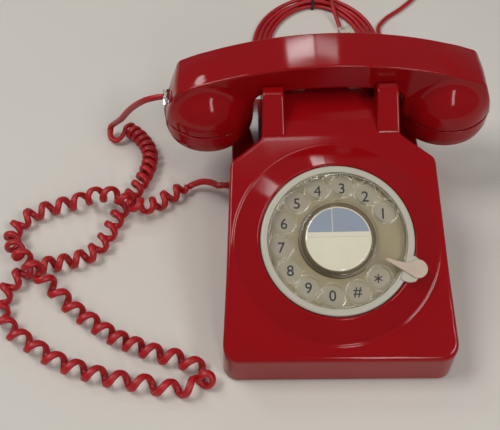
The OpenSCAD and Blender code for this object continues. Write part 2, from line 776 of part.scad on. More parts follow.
// Radius of a cup's dome at the share t of its height
function dome_r(t) = cup_top_r + (cap_r - cup_top_r) * (1 - pow(t, dome_bulge));
module cup_dome(w) {
    for (s = [-1, 1]) translate([s * cap_x, handset_y, seam_h]) rotate_extrude()
        polygon(concat([[0, 0]], [for (t = [0:0.2:1.001]) [dome_r(t) - w, t * cup_h]], [[0, cup_h]]));
}
module handle_under(w) {
    intersection() {
        translate([0, handset_y, arch_z]) rotate([90, 0, 0])
            cylinder(r = under_r + w, h = 4 * cap_r, center = true, $fn = 360);
        translate([0, handset_y, 0]) rotate([90, 0, 0]) linear_extrude(4 * cap_r, center = true)
            polygon([
                [-cup_inner_x - w, seam_h - 2], [cup_inner_x + w, seam_h - 2],
                [cup_inner_x - 6 + w, handset_top], [6 - cup_inner_x - w, handset_top]]);
    }
}
module handset_shell() {
    color(red) difference() {
        intersection() {
            handset_profile(0, 4 * cap_r);
            translate([0, 0, seam_h]) union() {
                translate([-end_x, handset_y - handle_w / 2, 0]) cube([2 * end_x, handle_w, 80]);
                translate([0, 0, -seam_h]) cup_dome(0);
            }
        }
        handle_under(0);
        // hollow handle and cups
        intersection() {
            handset_profile(handset_wall, 4 * cap_r);
            union() {
                difference() {
                    translate([-end_x, handset_y - handle_w / 2 + handset_wall, seam_h - 2])
                        cube([2 * end_x, handle_w - 2 * handset_wall, 80]);
                    handle_under(handset_wall);
                }
                difference() {
                    translate([0, 0, -eps]) cup_dome(handset_wall);
                    handle_under(handset_wall);
                }
            }
        }
        translate([-end_x - 2, handset_y - jack_w / 2 - 0.1, jack_z - 0.1]) cube([18, jack_w + 0.2, jack_h + 0.2]);
    }
}
// Round end cap with its screwed collar and a ring pattern of sound holes
collar_h = 4;
collar_r = cap_r - handset_wall - fit - collar_h * (cap_r - cup_top_r) / cup_h;
module end_cap(s, hole_r, rings) {
    floor_z = cap_z + handset_wall;
    color(red) translate([s * cap_x, handset_y, 0]) difference() {
        union() {
            translate([0, 0, cap_z]) cylinder(r1 = cap_r - 2, r2 = cap_r, h = 2);
            translate([0, 0, cap_z + 2 - eps]) cylinder(r = cap_r, h = cap_h - 2 + eps);
            translate([0, 0, seam_h - eps]) cylinder(r = collar_r, h = collar_h);
        }
        translate([0, 0, floor_z]) cylinder(r = collar_r - 2, h = 60);
        translate([0, 0, floor_z]) cylinder(r = cap_r - handset_wall, h = cap_h - 2 * handset_wall);
        for (k = [1:rings]) for (i = [0:6 * k - 1]) rotate(360 * i / (6 * k))
            translate([k * 5, 0, cap_z - 1]) cylinder(r = hole_r, h = 5, $fn = 24);
        translate([0, 0, cap_z - 1]) cylinder(r = hole_r, h = 5, $fn = 24);
    }
}
module ear_cap() { end_cap(1, 1.2, 2); }
module mouth_cap() { end_cap(-1, 1, 3); }
module capsule(s, r, h) {
    z = cap_z + handset_wall;
    color(steel) translate([s * cap_x, handset_y, z]) difference() {
        union() {
            cylinder(r = r, h = h - 4);
            translate([0, 0, h - 4 - eps]) cylinder(r1 = r, r2 = r - 5, h = 4);
        }
        translate([0, 0, h - 1.5]) cylinder(r = 4, h = 5);
    }
}
module receiver_capsule() { capsule(1, collar_r - 2.4, 15); }
module microphone_capsule() { capsule(-1, collar_r - 2.8, 13); }
module handset_weight() {
    floor_top = under_r + handset_wall + arch_z;
    color(steel) translate([-22, handset_y - 9, floor_top]) cube([44, 18, 8]);
}
jack_w = 12;
jack_h = 9;
jack_z = seam_h + 6.4;
jack_out = end_x - 4.4;
plug_w = 9.4;
plug_h = 6.2;
plug_l = 13;
plug_out = 5;
module handset_jack() {
    color(black) difference() {
        translate([-jack_out, handset_y - jack_w / 2, jack_z]) cube([13, jack_w, jack_h]);
        translate([-jack_out - 1, handset_y - plug_w / 2 - 0.15, jack_z + (jack_h - plug_h) / 2 - 0.15])
            cube([11, plug_w + 0.3, plug_h + 0.3]);
    }
}
module handset_plug() {
    color(clear) translate([-jack_out - plug_out, handset_y - plug_w / 2, jack_z + (jack_h - plug_h) / 2])
        cube([plug_l, plug_w, plug_h]);
}

// ---- cords ----
// Smooth curve through the points of a list, at position t counted in points
function spline(p, t) = let (n = len(p) - 1, i = min(floor(t), n - 1), f = t - i,
    a = p[max(i - 1, 0)], b = p[i], c = p[i + 1], d = p[min(i + 2, n)])
    0.5 * (2 * b + (c - a) * f + (2 * a - 5 * b + 4 * c - d) * f * f + (3 * b - a - 3 * c + d) * f * f * f);
// Points of a cord: its first and last lengths straight, a smooth curve between them
function along(p, count) = let (n = len(p), q = [for (i = [1:n - 2]) p[i]])
    concat([p[0]], [for (i = [0:count]) spline(q, (n - 3) * i / count)], [p[n - 1]]);
function way(p, i) = unit(p[min(i + 1, len(p) - 1)] - p[max(i - 1, 0)]);

// A tube of the given radius through the points, its ring of sides carried along without twist
module tube(p, r, sides) {
    n = len(p) - 1;
    ref = abs(way(p, 0)[2]) < 0.9 ? [0, 0, 1] : [1, 0, 0];
    first = unit(cross(cross(way(p, 0), ref), way(p, 0)));
    normals = [for (i = 0, v = first; i <= n;
        v = let (w = way(p, min(i + 1, n)), q = v - (v * w) * w) unit(q), i = i + 1) v];
    verts = [for (i = [0:n]) let (w = way(p, i), u = normals[i], v = cross(w, u))
        for (k = [0:sides - 1]) p[i] + r * (cos(360 * k / sides) * u + sin(360 * k / sides) * v)];
    skin = [for (i = [0:n - 1]) for (k = [0:sides - 1]) let (a = i * sides + k, b = i * sides + (k + 1) % sides)
        each [[a, b + sides, b], [a, a + sides, b + sides]]];
    ends = [for (k = [1:sides - 2]) each [[0, k, k + 1],
        [n * sides, n * sides + k + 1, n * sides + k]]];
    polyhedron(verts, concat(skin, ends));
}

// Least distance between tube surfaces of parts of a coil at least skip rings apart
function self_gap(p, r, skip) = min([for (i = [0:2:len(p) - 1 - skip])
    min([for (j = [i + skip:2:len(p) - 1]) norm(p[i] - p[j])])]) - 2 * r;

grommet_r = 3.6;
cord_exit = [-body_rear_w / 2, sho_y + 30, 22];
boot_l = 6;
plug_end = [-jack_out - plug_out, handset_y, jack_z + jack_h / 2];
// Height at which the curls rest on the table, and how far they climb where they cross
rest_z = curl_r + curl_wire_d / 2 + 0.3;
over = 2 * curl_r + curl_wire_d + 1.4;
// Curly cord on the table, as x, y and the climb above rest: down the left side, out to the
// front and back over itself to the case
curl_route = [for (q = [
    [-174, 127, 0], [-167, 124, 0], [-159, 116, 0], [-151, 106, 0], [-144, 97, 0], [-139, 87, 0],
    [-139, 76, 0], [-143, 64, 0], [-151, 50, 0], [-159, 36, 0], [-165, 21, 0], [-171, 5, 0],
    [-181, -8, 0], [-197, -14, 0], [-213, -17, 0], [-228, -22, 0], [-239, -36, 0], [-242, -54, 0],
    [-232, -71, 0], [-214, -84, 0], [-195, -96, 0], [-175, -104, 0], [-154, -110, 0],
    [-134, -113, 0], [-113, -117, 0], [-95, -118, 0], [-87, -109, 0], [-94, -100, 0],
    [-109, -96, 0], [-125, -92, 0], [-141, -85, 0], [-156, -78, 0], [-172, -67, 0], [-188, -55, 0],
    [-203, -41, 0.3], [-217, -29, 0.85], [-229, -17, 1], [-241, -1, 0.4], [-244, 16, 0],
    [-234, 30, 0], [-217, 38, 0], [-198, 42, 0.1], [-179, 42, 0.7], [-161, 37, 1], [-146, 33, 0.5],
    [-133, 39, 0], [-120, 49, 0], [-108, 56, 0]])
    [q[0], q[1], rest_z + over * q[2]]];
curl_last = len(curl_route) - 1;
rings = 8;
// Points of the curls; the radius grows from nothing and shrinks again over the end curls
function curl_points(n) = let (total = n * rings) [for (i = [0:total])
    let (t = curl_last * i / total, c = spline(curl_route, t),
        f = unit(spline(curl_route, min(t + 0.1, curl_last)) - spline(curl_route, max(t - 0.1, 0))),
        s = unit(cross(f, [0, 0, 1])), u = cross(s, f), a = 90 + 360 * i / rings,
        r = curl_r * min(1, i / rings, (total - i) / rings))
    c + r * (cos(a) * s + sin(a) * u)];
curls = curl_points(curl_n);

// Free cord from the handset plug down to the first curl, and from the last curl to the case
curl_in = unit(curls[1] - curls[0]);
curl_out = unit(curls[len(curls) - 1] - curls[len(curls) - 2]);
top_route = [plug_end, plug_end - [4, 0, 0], [-135, 81, 81], [-149, 93, 62], [-164, 109, 32],
    [-174, 121, 14], [-177, 126, 8], curls[0] - 2 * curl_in, curls[0]];
foot_start = cord_exit - [boot_l + 2, 0, 0];
foot_route = [curls[len(curls) - 1], curls[len(curls) - 1] + 2 * curl_out, [-102, 58, 8.5],
    [-95, 56.5, 13], [-88, 51, 18.5], foot_start - [4, 0, 0], foot_start];

module curly_cord_top() { color(cord_red) tube(along(top_route, 20), curl_wire_d / 2, 8); }
module curly_cord() { color(cord_red) tube(curls, curl_wire_d / 2, 6); }
module curly_cord_foot() { color(cord_red) tube(along(foot_route, 14), curl_wire_d / 2, 8); }
module cord_grommet() {
    color(red) translate(cord_exit) rotate([0, 90, 0]) {
        translate([0, 0, -2]) cylinder(r = grommet_r + 1.4, h = 2);
        cylinder(r = grommet_r - 0.05, h = wall);
        translate([0, 0, wall]) cylinder(r = grommet_r + 1, h = 1.6);
        translate([0, 0, -2 - boot_l]) cylinder(r1 = 2.2, r2 = 3.2, h = boot_l);
    }
}

gland_x = -35;
gland_z = 12;
gland_r = 4;
gland_out = 9;
module line_gland() {
    color(black) translate([gland_x, back_y, gland_z]) rotate([-90, 0, 0]) {
        translate([0, 0, -wall - 1.6]) cylinder(r = gland_r + 1, h = 1.6);
        translate([0, 0, -wall]) cylinder(r = gland_r - 0.05, h = wall);
        cylinder(r = gland_r + 1.4, h = 2);
        translate([0, 0, 2]) cylinder(r1 = 3.4, r2 = 2.5, h = gland_out - 2);
    }
}

hank_c = [8, 230];
hank_ax = 41;
hank_ay = 50;
hank_step = line_d + 1;
tie_t = 0.5;
hank_z = line_d / 2 + tie_t + 0.2;
hank_rings = 24;
// The strands lie side by side; at the tie they are drawn together, every second one on top
tie_step = line_d * 0.64;
tie_rise = line_d + 0.8;
function hank_point(t) = let (a = -90 + 360 * t, k = max(0, min(hank_n - 1, round(t - 0.5))),
    near = exp(-pow((t - 0.5 - k) / 0.09, 2)),
    off = hank_step * t * (1 - near) + (hank_step * 1.3 + k * tie_step) * near)
    [hank_c[0] + (hank_ax + off) * cos(a), hank_c[1] + (hank_ay + off) * sin(a),
        hank_z + tie_rise * (k % 2) * near];
hank_turns = hank_n + 0.25;
hank_pts = [for (i = [0:hank_turns * hank_rings]) hank_point(i / hank_rings)];
hank_in = unit(hank_pts[1] - hank_pts[0]);
start_route = [[gland_x, back_y + gland_out, gland_z], [gland_x, back_y + gland_out + 4, gland_z],
    [-35, 137, 9], [-33, 153, 9.6], [-24, 166, 10], [-14, 175.5, 9.4], [-6, 181.4, 6.4], [0, 181.6, 3.6],
    hank_pts[0] - 3 * hank_in, hank_pts[0]];
hank_end = hank_pts[len(hank_pts) - 1];
hank_out = unit(hank_end - hank_pts[len(hank_pts) - 2]);
plug_at = [34, 249, 3.4];
plug_way = unit([0.55, -1, 0]);
end_route = [hank_end, hank_end + 4 * hank_out, [69, 250, 2.4], [78, 264, 2.2], [95, 279, 2.2],
    [111, 298, 2.2], [114, 320, 2.2], [102, 341, 2.2], [78, 352, 2.2], [52, 348, 2.2],
    [35, 333, 3], [28, 316, 7], [26, 302, 11], [26, 288, 12], [27, 273, 10],
    plug_at - 4 * plug_way, plug_at];
module line_cord_start() { color(cord_red) tube(along(start_route, 20), line_d / 2, 8); }
module line_cord_hank() { color(cord_red) tube(hank_pts, line_d / 2, 6); }
module line_cord_end() { color(cord_red) tube(along(end_route, 46), line_d / 2, 8); }
module line_plug() {
    a = atan2(plug_way[1], plug_way[0]);
    color(clear) translate(plug_at) rotate(a) difference() {
        translate([0, -4.8, -3.2]) cube([14, 9.6, 6.6]);
        for (i = [-2:2]) translate([10, i * 1.4 - 0.3, 2.2]) cube([6, 0.6, 3]);
    }
}
// Tie round the strands at the far side of the hank
module twist_tie() {
    low = hank_c[1] + hank_ay + hank_step * 1.3 - line_d / 2 - 0.4;
    wide = (hank_n - 1) * tie_step + line_d + 0.8;
    high = tie_rise + line_d + 0.4;
    color(black) translate([hank_c[0], low, 0]) rotate([90, 0, 90])
        linear_extrude(2.4, center = true) difference() {
            translate([-tie_t, 0]) square([wide + 2 * tie_t, high + 2 * tie_t]);
            translate([0, tie_t]) square([wide, high]);
        }
}

echo(curl_gap = self_gap(curls, curl_wire_d / 2, 12));
echo(hank_gap = self_gap(hank_pts, line_d / 2, 12));

case_shell();
base_plate();
foot_front_left();
foot_front_right();
foot_rear_left();
foot_rear_right();
case_screw_fl();
case_screw_fr();
case_screw_rl();
case_screw_rr();
ballast_plate();
main_board();
board_capacitor();
terminal_block();
ringer_bracket();
ringer_coil();
gong_left();
gong_right();
gong_screw_left();
gong_screw_right();
ringer_striker();
hook_guide();
hook_bar();
hook_spring();
hook_switch();
dial_frame();
number_plate();
dial_ring();
finger_stop();
works_plate();
return_spring();
governor_cup();
pulse_contacts();
finger_wheel();
dial_label();
label_ring();
label_cover();
main_spindle();
drive_gear();
governor_pinion();
governor_rotor();
handset_shell();
ear_cap();
mouth_cap();
receiver_capsule();
microphone_capsule();
handset_weight();
handset_jack();
handset_plug();
cord_grommet();
curly_cord_top();
curly_cord();
curly_cord_foot();
line_gland();
line_cord_start();
line_cord_hank();
line_cord_end();
line_plug();
twist_tie();
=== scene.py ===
import math

import bmesh
import bpy
import numpy as np
from mathutils import Matrix, Vector


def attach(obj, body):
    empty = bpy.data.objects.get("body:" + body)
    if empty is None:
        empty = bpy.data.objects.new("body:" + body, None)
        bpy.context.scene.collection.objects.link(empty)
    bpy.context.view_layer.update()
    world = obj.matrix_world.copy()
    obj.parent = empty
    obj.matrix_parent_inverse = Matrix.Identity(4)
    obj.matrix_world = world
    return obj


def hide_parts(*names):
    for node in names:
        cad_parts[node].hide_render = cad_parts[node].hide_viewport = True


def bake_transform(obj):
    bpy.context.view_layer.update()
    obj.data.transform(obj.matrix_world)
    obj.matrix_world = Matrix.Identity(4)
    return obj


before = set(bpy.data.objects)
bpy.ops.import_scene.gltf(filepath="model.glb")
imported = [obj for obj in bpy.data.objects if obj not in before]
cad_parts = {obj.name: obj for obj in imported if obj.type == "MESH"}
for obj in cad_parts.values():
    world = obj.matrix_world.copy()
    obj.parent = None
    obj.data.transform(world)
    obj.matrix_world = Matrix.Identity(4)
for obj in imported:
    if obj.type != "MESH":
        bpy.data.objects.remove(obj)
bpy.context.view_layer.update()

# Places that several pieces share, in metres: x to the right, y to the back, z up.
case = {
    "front": -0.110, "back": 0.110, "crown": 0.104, "shoulder": 0.015, "neck": 0.0315,
    "saddle": 0.038, "frontHalf": 0.076, "rearHalf": 0.070, "neckHalf": 0.0475,
    "bottom": 0.002, "lip": 0.032, "ledge": 0.052, "slope": math.radians(23), "wall": 0.0026,
}
case["saddleTop"] = case["lip"] + (case["saddle"] - case["front"]) * math.tan(case["slope"])
handset = {
    "y": 0.0775, "width": 0.031, "archRadius": 0.289, "depth": 0.023, "topHalf": 0.1074,
    "endHalf": 0.1185, "capX": 0.0868, "capRadius": 0.0332, "cupTopRadius": 0.016,
    "domeBulge": 1.8, "capHeight": 0.0156, "wall": 0.0026, "rise": 0.0329, "height": 0.0509,
}
handset["top"] = case["saddleTop"] + handset["rise"]
handset["seam"] = handset["top"] - handset["height"]
handset["archZ"] = handset["top"] - handset["archRadius"]
dial = {
    "up": 0.078,  # from the front edge up the sloping face
    "wellRadius": 0.0508, "coneRadius": 0.068, "coneHeight": 0.0088, "plateTop": 0.0036,
    "wheelRadius": 0.045, "wheelTop": 0.0098, "wheelThickness": 0.0022,
    "holeCircle": 0.037, "holeRadius": 0.0068, "hubRadius": 0.0217,
    "holes": 12, "firstHole": 29.9, "holeStep": 26.0, "hubShift": (0.0007, 0.0004, 0),
}
dial["centre"] = Vector((0, case["front"] + dial["up"] * math.cos(case["slope"]),
                         case["lip"] + dial["up"] * math.sin(case["slope"])))
dialFrame = Matrix.Translation(dial["centre"]) @ Matrix.Rotation(case["slope"], 4, "X")
hubFrame = dialFrame @ Matrix.Translation(dial["hubShift"])
weldDistance = 1e-7  # points closer than this become one


def linked(name, data):
    made = bpy.data.objects.new(name, data)
    bpy.context.collection.objects.link(made)
    return made


# Turns a bmesh into an object of the scene, put in its place.
def pieceFrom(name, mesh, place=Matrix()):
    bmesh.ops.transform(mesh, matrix=place, verts=mesh.verts)
    data = bpy.data.meshes.new(name)
    mesh.to_mesh(data)
    mesh.free()
    return linked(name, data)


# Applies a piece's modifiers to its mesh.
def bake(piece):
    graph = bpy.context.evaluated_depsgraph_get()
    made = bpy.data.meshes.new_from_object(piece.evaluated_get(graph))
    piece.modifiers.clear()
    piece.data = made
    return piece


# Cuts others out of a piece; they are used up.
def cutOut(piece, others):
    for other in others:
        step = piece.modifiers.new("cut", "BOOLEAN")
        step.operation, step.solver, step.object = "DIFFERENCE", "EXACT", other
    bake(piece)
    for other in others:
        bpy.data.objects.remove(other)


# Rounds the edges that are sharper than the angle.
def roundEdges(piece, width, segments, angle):
    bevel = piece.modifiers.new("round", "BEVEL")
    bevel.width, bevel.segments, bevel.profile = width, segments, 0.5
    bevel.limit_method, bevel.angle_limit = "ANGLE", math.radians(angle)
    bevel.use_clamp_overlap = False
    return bake(piece)


# Smooth shading that keeps flat faces flat.
def polish(piece, sharpAngle=34):
    piece.data.shade_smooth()
    piece.data.set_sharp_from_angle(angle=math.radians(sharpAngle))
    weigh = piece.modifiers.new("weigh", "WEIGHTED_NORMAL")
    weigh.weight, weigh.keep_sharp = 100, True
    return bake(piece)


# Gives a piece its look, the body it rides on, and the CAD nodes it stands for.
def finish(piece, body, look, replaced=()):
    piece.data.materials.clear()
    piece.data.materials.append(look)
    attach(piece, body)
    if replaced:
        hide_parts(*replaced)


# A round bar from low to high along the local z axis.
def cylinder(name, radius, low, high, place, steps):
    mesh = bmesh.new()
    bmesh.ops.create_cone(mesh, cap_ends=True, segments=steps, radius1=radius, radius2=radius,
                          depth=high - low)
    bmesh.ops.translate(mesh, vec=(0, 0, (low + high) / 2), verts=mesh.verts)
    return pieceFrom(name, mesh, place)


# A line with its corners turned into arcs; each point is (a, b) or (a, b, radius).
def roundedLine(points, closed=False, steps=5):
    line = []
    for i, point in enumerate(points):
        here = Vector(point[:2])
        radius = point[2] if len(point) > 2 else 0
        if radius == 0 or (not closed and i in (0, len(points) - 1)):
            line.append(here)
            continue
        before = (Vector(points[i - 1][:2]) - here).normalized()
        after = (Vector(points[(i + 1) % len(points)][:2]) - here).normalized()
        half = before.angle(after) / 2
        centre = here + (before + after).normalized() * (radius / math.sin(half))
        start = here + before * (radius / math.tan(half)) - centre
        end = here + after * (radius / math.tan(half)) - centre
        swing = math.atan2(start.x * end.y - start.y * end.x, start.dot(end))
        line += [centre + Matrix.Rotation(swing * k / steps, 2) @ start for k in range(steps + 1)]
    return line


# A ring or a disc, spun about the local z axis from a closed line of (radius, height).
def spun(name, profile, place, steps, sharpAngle=34):
    mesh = bmesh.new()
    verts = [mesh.verts.new((point[0], 0, point[1])) for point in profile]
    edges = [mesh.edges.new((verts[i - 1], verts[i])) for i in range(len(verts))
             if max(verts[i - 1].co.x, verts[i].co.x) > 0]
    bmesh.ops.spin(mesh, geom=verts + edges, axis=(0, 0, 1), cent=(0, 0, 0), steps=steps,
                   angle=2 * math.pi, use_merge=True)
    bmesh.ops.remove_doubles(mesh, verts=mesh.verts, dist=weldDistance)
    bmesh.ops.recalc_face_normals(mesh, faces=mesh.faces)
    return polish(pieceFrom(name, mesh, place), sharpAngle)


# A plate: an outline in its own plane, extruded from low to high.
def extruded(name, outline, low, high, place):
    mesh = bmesh.new()
    face = mesh.faces.new([mesh.verts.new((point[0], point[1], low)) for point in outline])
    raised = bmesh.ops.extrude_face_region(mesh, geom=[face])["geom"]
    verts = [g for g in raised if isinstance(g, bmesh.types.BMVert)]
    bmesh.ops.translate(mesh, vec=(0, 0, high - low), verts=verts)
    bmesh.ops.recalc_face_normals(mesh, faces=mesh.faces)
    return pieceFrom(name, mesh, place)


# The same piece on the other side of the middle.
def mirrored(piece, name):
    mesh = bmesh.new()
    mesh.from_mesh(piece.data)
    bmesh.ops.scale(mesh, vec=(-1, 1, 1), verts=mesh.verts)
    bmesh.ops.recalc_face_normals(mesh, faces=mesh.faces)
    return pieceFrom(name, mesh)


# A piece from points and faces, for cords and fields, whose shapes no operator makes.
def meshPiece(name, points, faces, sharpAngle=None, normals=None):
    mesh = bpy.data.meshes.new(name)
    mesh.from_pydata([tuple(map(float, point)) for point in points], [],
                     [tuple(map(int, face)) for face in faces])
    mesh.validate()
    mesh.update()
    mesh.shade_smooth()
    if sharpAngle is not None:
        mesh.set_sharp_from_angle(angle=math.radians(sharpAngle))
    if normals is not None:
        mesh.normals_split_custom_set_from_vertices([tuple(map(float, way)) for way in normals])
    return linked(name, mesh)


# Forms that flow into each other are written as fields, which are negative inside.
# This is the overlap of two fields, with an edge rounded by radius.
def roundMax(a, b, radius):
    corner = np.hypot(np.maximum(a + radius, 0), np.maximum(b + radius, 0))
    return np.minimum(np.maximum(a, b), -radius) + corner


# Union of two fields with a fillet about as wide as reach where they meet.
def blendMin(a, b, reach):
    near = np.maximum(reach - np.abs(a - b), 0)
    return np.minimum(a, b) - near * near / (4 * np.maximum(reach, 1e-9))


# A box between two corners.
def boxField(x, y, z, low, high):
    sides = [np.maximum(a - v, v - b) for v, a, b in zip((x, y, z), low, high)]
    return np.maximum(np.maximum(sides[0], sides[1]), sides[2])


# Zones and their mirror images on the other side of the middle.
def bothSides(zones):
    return zones + [(-b, -a) for a, b in zones]


# Grid lines from low to high: fine steps inside the zones, coarse ones between them.
def gridLines(low, high, coarse, zones, fine):
    lines = [low]
    while lines[-1] < high:
        here = lines[-1]
        inZone = any(a <= here < b for a, b in zones)
        gaps = [a - here for a, b in zones if a > here + 1e-6]
        step = fine if inZone else min([coarse] + [max(gap, fine) for gap in gaps])
        lines.append(here + step)
    return np.array(lines)


# How finely a field is probed, and how its rough surface is drawn onto the true one.
fieldSettings = {"probe": 5e-5, "pulls": 4, "reach": 0.6, "leastSlope": 0.2}


# The slope of a field in x, y and z at each point.
def fieldSlopes(field, points):
    step, slopes = fieldSettings["probe"], []
    for axis in range(3):
        offset = np.zeros(3)
        offset[axis] = step
        ahead, behind = points + offset, points - offset
        slopes.append((field(*ahead.T) - field(*behind.T)) / (2 * step))
    return np.stack(slopes, 1)


# The surface where a field is zero, as quads: one vertex in each grid cell that it crosses,
# then drawn onto the surface along the field's slope.
def fieldPiece(name, field, lines, place=Matrix()):
    value = field(*np.meshgrid(*lines, indexing="ij", sparse=True))
    cells = np.array(value.shape) - 1
    total, count = np.zeros((cells.prod(), 3)), np.zeros(cells.prod())
    quads = []
    for axis in range(3):
        low = value[tuple(slice(0, -1) if a == axis else slice(None) for a in range(3))]
        high = value[tuple(slice(1, None) if a == axis else slice(None) for a in range(3))]
        edge = np.stack(np.nonzero((low < 0) != (high < 0)), 1)
        at = tuple(edge.T)
        share = low[at] / (low[at] - high[at])
        point = np.stack([lines[a][edge[:, a]] for a in range(3)], 1)
        point[:, axis] += share * (lines[axis][edge[:, axis] + 1] - lines[axis][edge[:, axis]])
        one, two = (axis + 1) % 3, (axis + 2) % 3
        around = []
        for stepOne, stepTwo in ((-1, -1), (0, -1), (0, 0), (-1, 0)):
            cell = edge.copy()
            cell[:, one] += stepOne
            cell[:, two] += stepTwo
            around.append(cell)
        kept = np.all([(c >= 0).all(1) & (c < cells).all(1) for c in around], 0)
        around = [np.ravel_multi_index(tuple(c[kept].T), cells) for c in around]
        for cell in around:
            count += np.bincount(cell, minlength=len(count))
            for a in range(3):
                total[:, a] += np.bincount(cell, point[kept, a], minlength=len(count))
        quad = np.stack(around, 1)
        outward = (low[at] < 0)[kept]
        quads.append(np.where(outward[:, None], quad, quad[:, ::-1]))
    used = np.nonzero(count)[0]
    number = np.full(len(count), -1)
    number[used] = np.arange(len(used))
    points = total[used] / count[used, None]
    home = points.copy()
    reach = max(np.diff(line).max() for line in lines) * fieldSettings["reach"]
    for pull in range(fieldSettings["pulls"]):
        slope = fieldSlopes(field, points)
        size = np.maximum((slope ** 2).sum(1), fieldSettings["leastSlope"])
        points = points - slope * (field(*points.T) / size)[:, None]
        points = home + np.clip(points - home, -reach, reach)
    slope = fieldSlopes(field, points)
    normals = slope / np.maximum(np.linalg.norm(slope, axis=1), 1e-9)[:, None]
    turn = np.array(place.to_3x3())
    points, normals = points @ turn.T + np.array(place.translation), normals @ turn.T
    return meshPiece(name, points, number[np.concatenate(quads)], normals=normals)


# The camera stands before the object, a little to its left, and looks down on it.
view = {
    "place": (-0.05381, -0.30213, 0.45564), "right": (0.99827, 0.01521, -0.05676),
    "up": (0.01984, 0.82201, 0.56913), "lens": 50.69, "sensor": 36, "shift": (0.0685, 0.0373),
    "clip": (0.01, 50),
}


def addCamera():
    data = bpy.data.cameras.new("camera")
    data.lens, data.sensor_width, data.sensor_fit = view["lens"], view["sensor"], "HORIZONTAL"
    data.shift_x, data.shift_y = view["shift"]
    data.clip_start, data.clip_end = view["clip"]
    right, up = Vector(view["right"]).normalized(), Vector(view["up"])
    back = right.cross(up).normalized()
    up = back.cross(right)
    turn = Matrix((right, up, back)).transposed().to_4x4()
    camera = linked("camera", data)
    camera.matrix_world = Matrix.Translation(view["place"]) @ turn
    bpy.context.scene.camera = camera


addCamera()
print("camera placed")


# A colour from 0 to 255, as a screen shows it, in the values that a shader takes.
def tone(red, green, blue):
    shares = [c / 255 for c in (red, green, blue)]
    return [c / 12.92 if c < 0.04045 else ((c + 0.055) / 1.055) ** 2.4 for c in shares] + [1]


# Adds a node; each input is a value or the output of another node.
def node(tree, kind, inputs=(), **settings):
    made = tree.nodes.new("ShaderNode" + kind)
    for key, value in settings.items():
        setattr(made, key, value)
    for key, value in dict(inputs).items():
        if isinstance(value, bpy.types.NodeSocket):
            tree.links.new(value, made.inputs[key])
        else:
            made.inputs[key].default_value = value
    return made


def calc(tree, operation, first, second=0.0):
    return node(tree, "Math", {0: first, 1: second}, operation=operation).outputs[0]


# Inputs 0, 6 and 7 of a colour mix are its share and its two colours, output 2 is the result.
def mixed(tree, share, first, second):
    return node(tree, "Mix", {0: share, 6: first, 7: second}, data_type="RGBA").outputs[2]


def ranged(tree, value, low, high, toLow, toHigh):
    return node(tree, "MapRange", {0: value, 1: low, 2: high, 3: toLow, 4: toHigh}).outputs[0]


def shaded(colour, factor):
    return [c * factor for c in colour[:3]] + [1]


noise = {
    "low": 0.3, "high": 0.7,  # most of its values lie between these
    "wearScale": 2.3, "patchDetail": 4, "wearDetail": 5, "grainDetail": 2,
}


# A look with a mottled colour, an uneven gloss and a fine relief, all from its own noise.
# patch and grain are scales of that noise, relief is a depth in metres.
def surface(name, colour, rough, mottle=0.06, patch=40, uneven=0.04, grain=900, relief=0.00001,
            **sockets):
    look = bpy.data.materials.new(name)
    look.use_nodes = True
    tree = look.node_tree
    shader = tree.nodes["Principled BSDF"]
    place = node(tree, "TexCoord").outputs["Object"]

    def clouds(scale, detail):
        settings = {"Vector": place, "Scale": scale, "Detail": detail}
        return node(tree, "TexNoise", settings).outputs[0]

    cover = ranged(tree, clouds(patch, noise["patchDetail"]), noise["low"], noise["high"], 0, 1)
    dark, light = shaded(colour, 1 - mottle), shaded(colour, 1 + mottle)
    tree.links.new(mixed(tree, cover, dark, light), shader.inputs["Base Color"])
    wear = clouds(patch * noise["wearScale"], noise["wearDetail"])
    gloss = ranged(tree, wear, noise["low"], noise["high"], rough - uneven, rough + uneven)
    tree.links.new(gloss, shader.inputs["Roughness"])
    fine = clouds(grain, noise["grainDetail"])
    raised = node(tree, "Bump", {"Height": fine, "Distance": relief, "Strength": 1.0})
    tree.links.new(raised.outputs[0], shader.inputs["Normal"])
    for key, value in sockets.items():
        shader.inputs[key.replace("_", " ")].default_value = value
    return look


# Lets soft light through a clear piece onto what lies under it.
def letLightThrough(look, colour):
    tree = look.node_tree
    shader, out = tree.nodes["Principled BSDF"], tree.nodes["Material Output"]
    path = node(tree, "LightPath")
    share = calc(tree, "MAXIMUM", path.outputs["Is Shadow Ray"], path.outputs["Is Diffuse Ray"])
    through = node(tree, "BsdfTransparent", {"Color": colour})
    blend = node(tree, "MixShader", {0: share, 1: shader.outputs[0], 2: through.outputs[0]})
    tree.links.new(blend.outputs[0], out.inputs["Surface"])
    return look


# The round label: a bare blue-grey top with a divider, and a cream rest with one thin rule.
# The divider and the rule are given by their place and their half width.
label = {
    "cream": tone(238, 233, 216), "blue": tone(150, 162, 186), "dividerTone": tone(224, 220, 210),
    "ruleTone": tone(150, 150, 150), "ruleStrength": 0.55, "edge": 0.0206, "topFrom": 0.0045,
    "divider": (-0.0036, 0.00025), "rule": (0.0013, 0.00014), "soft": 0.00012,
}


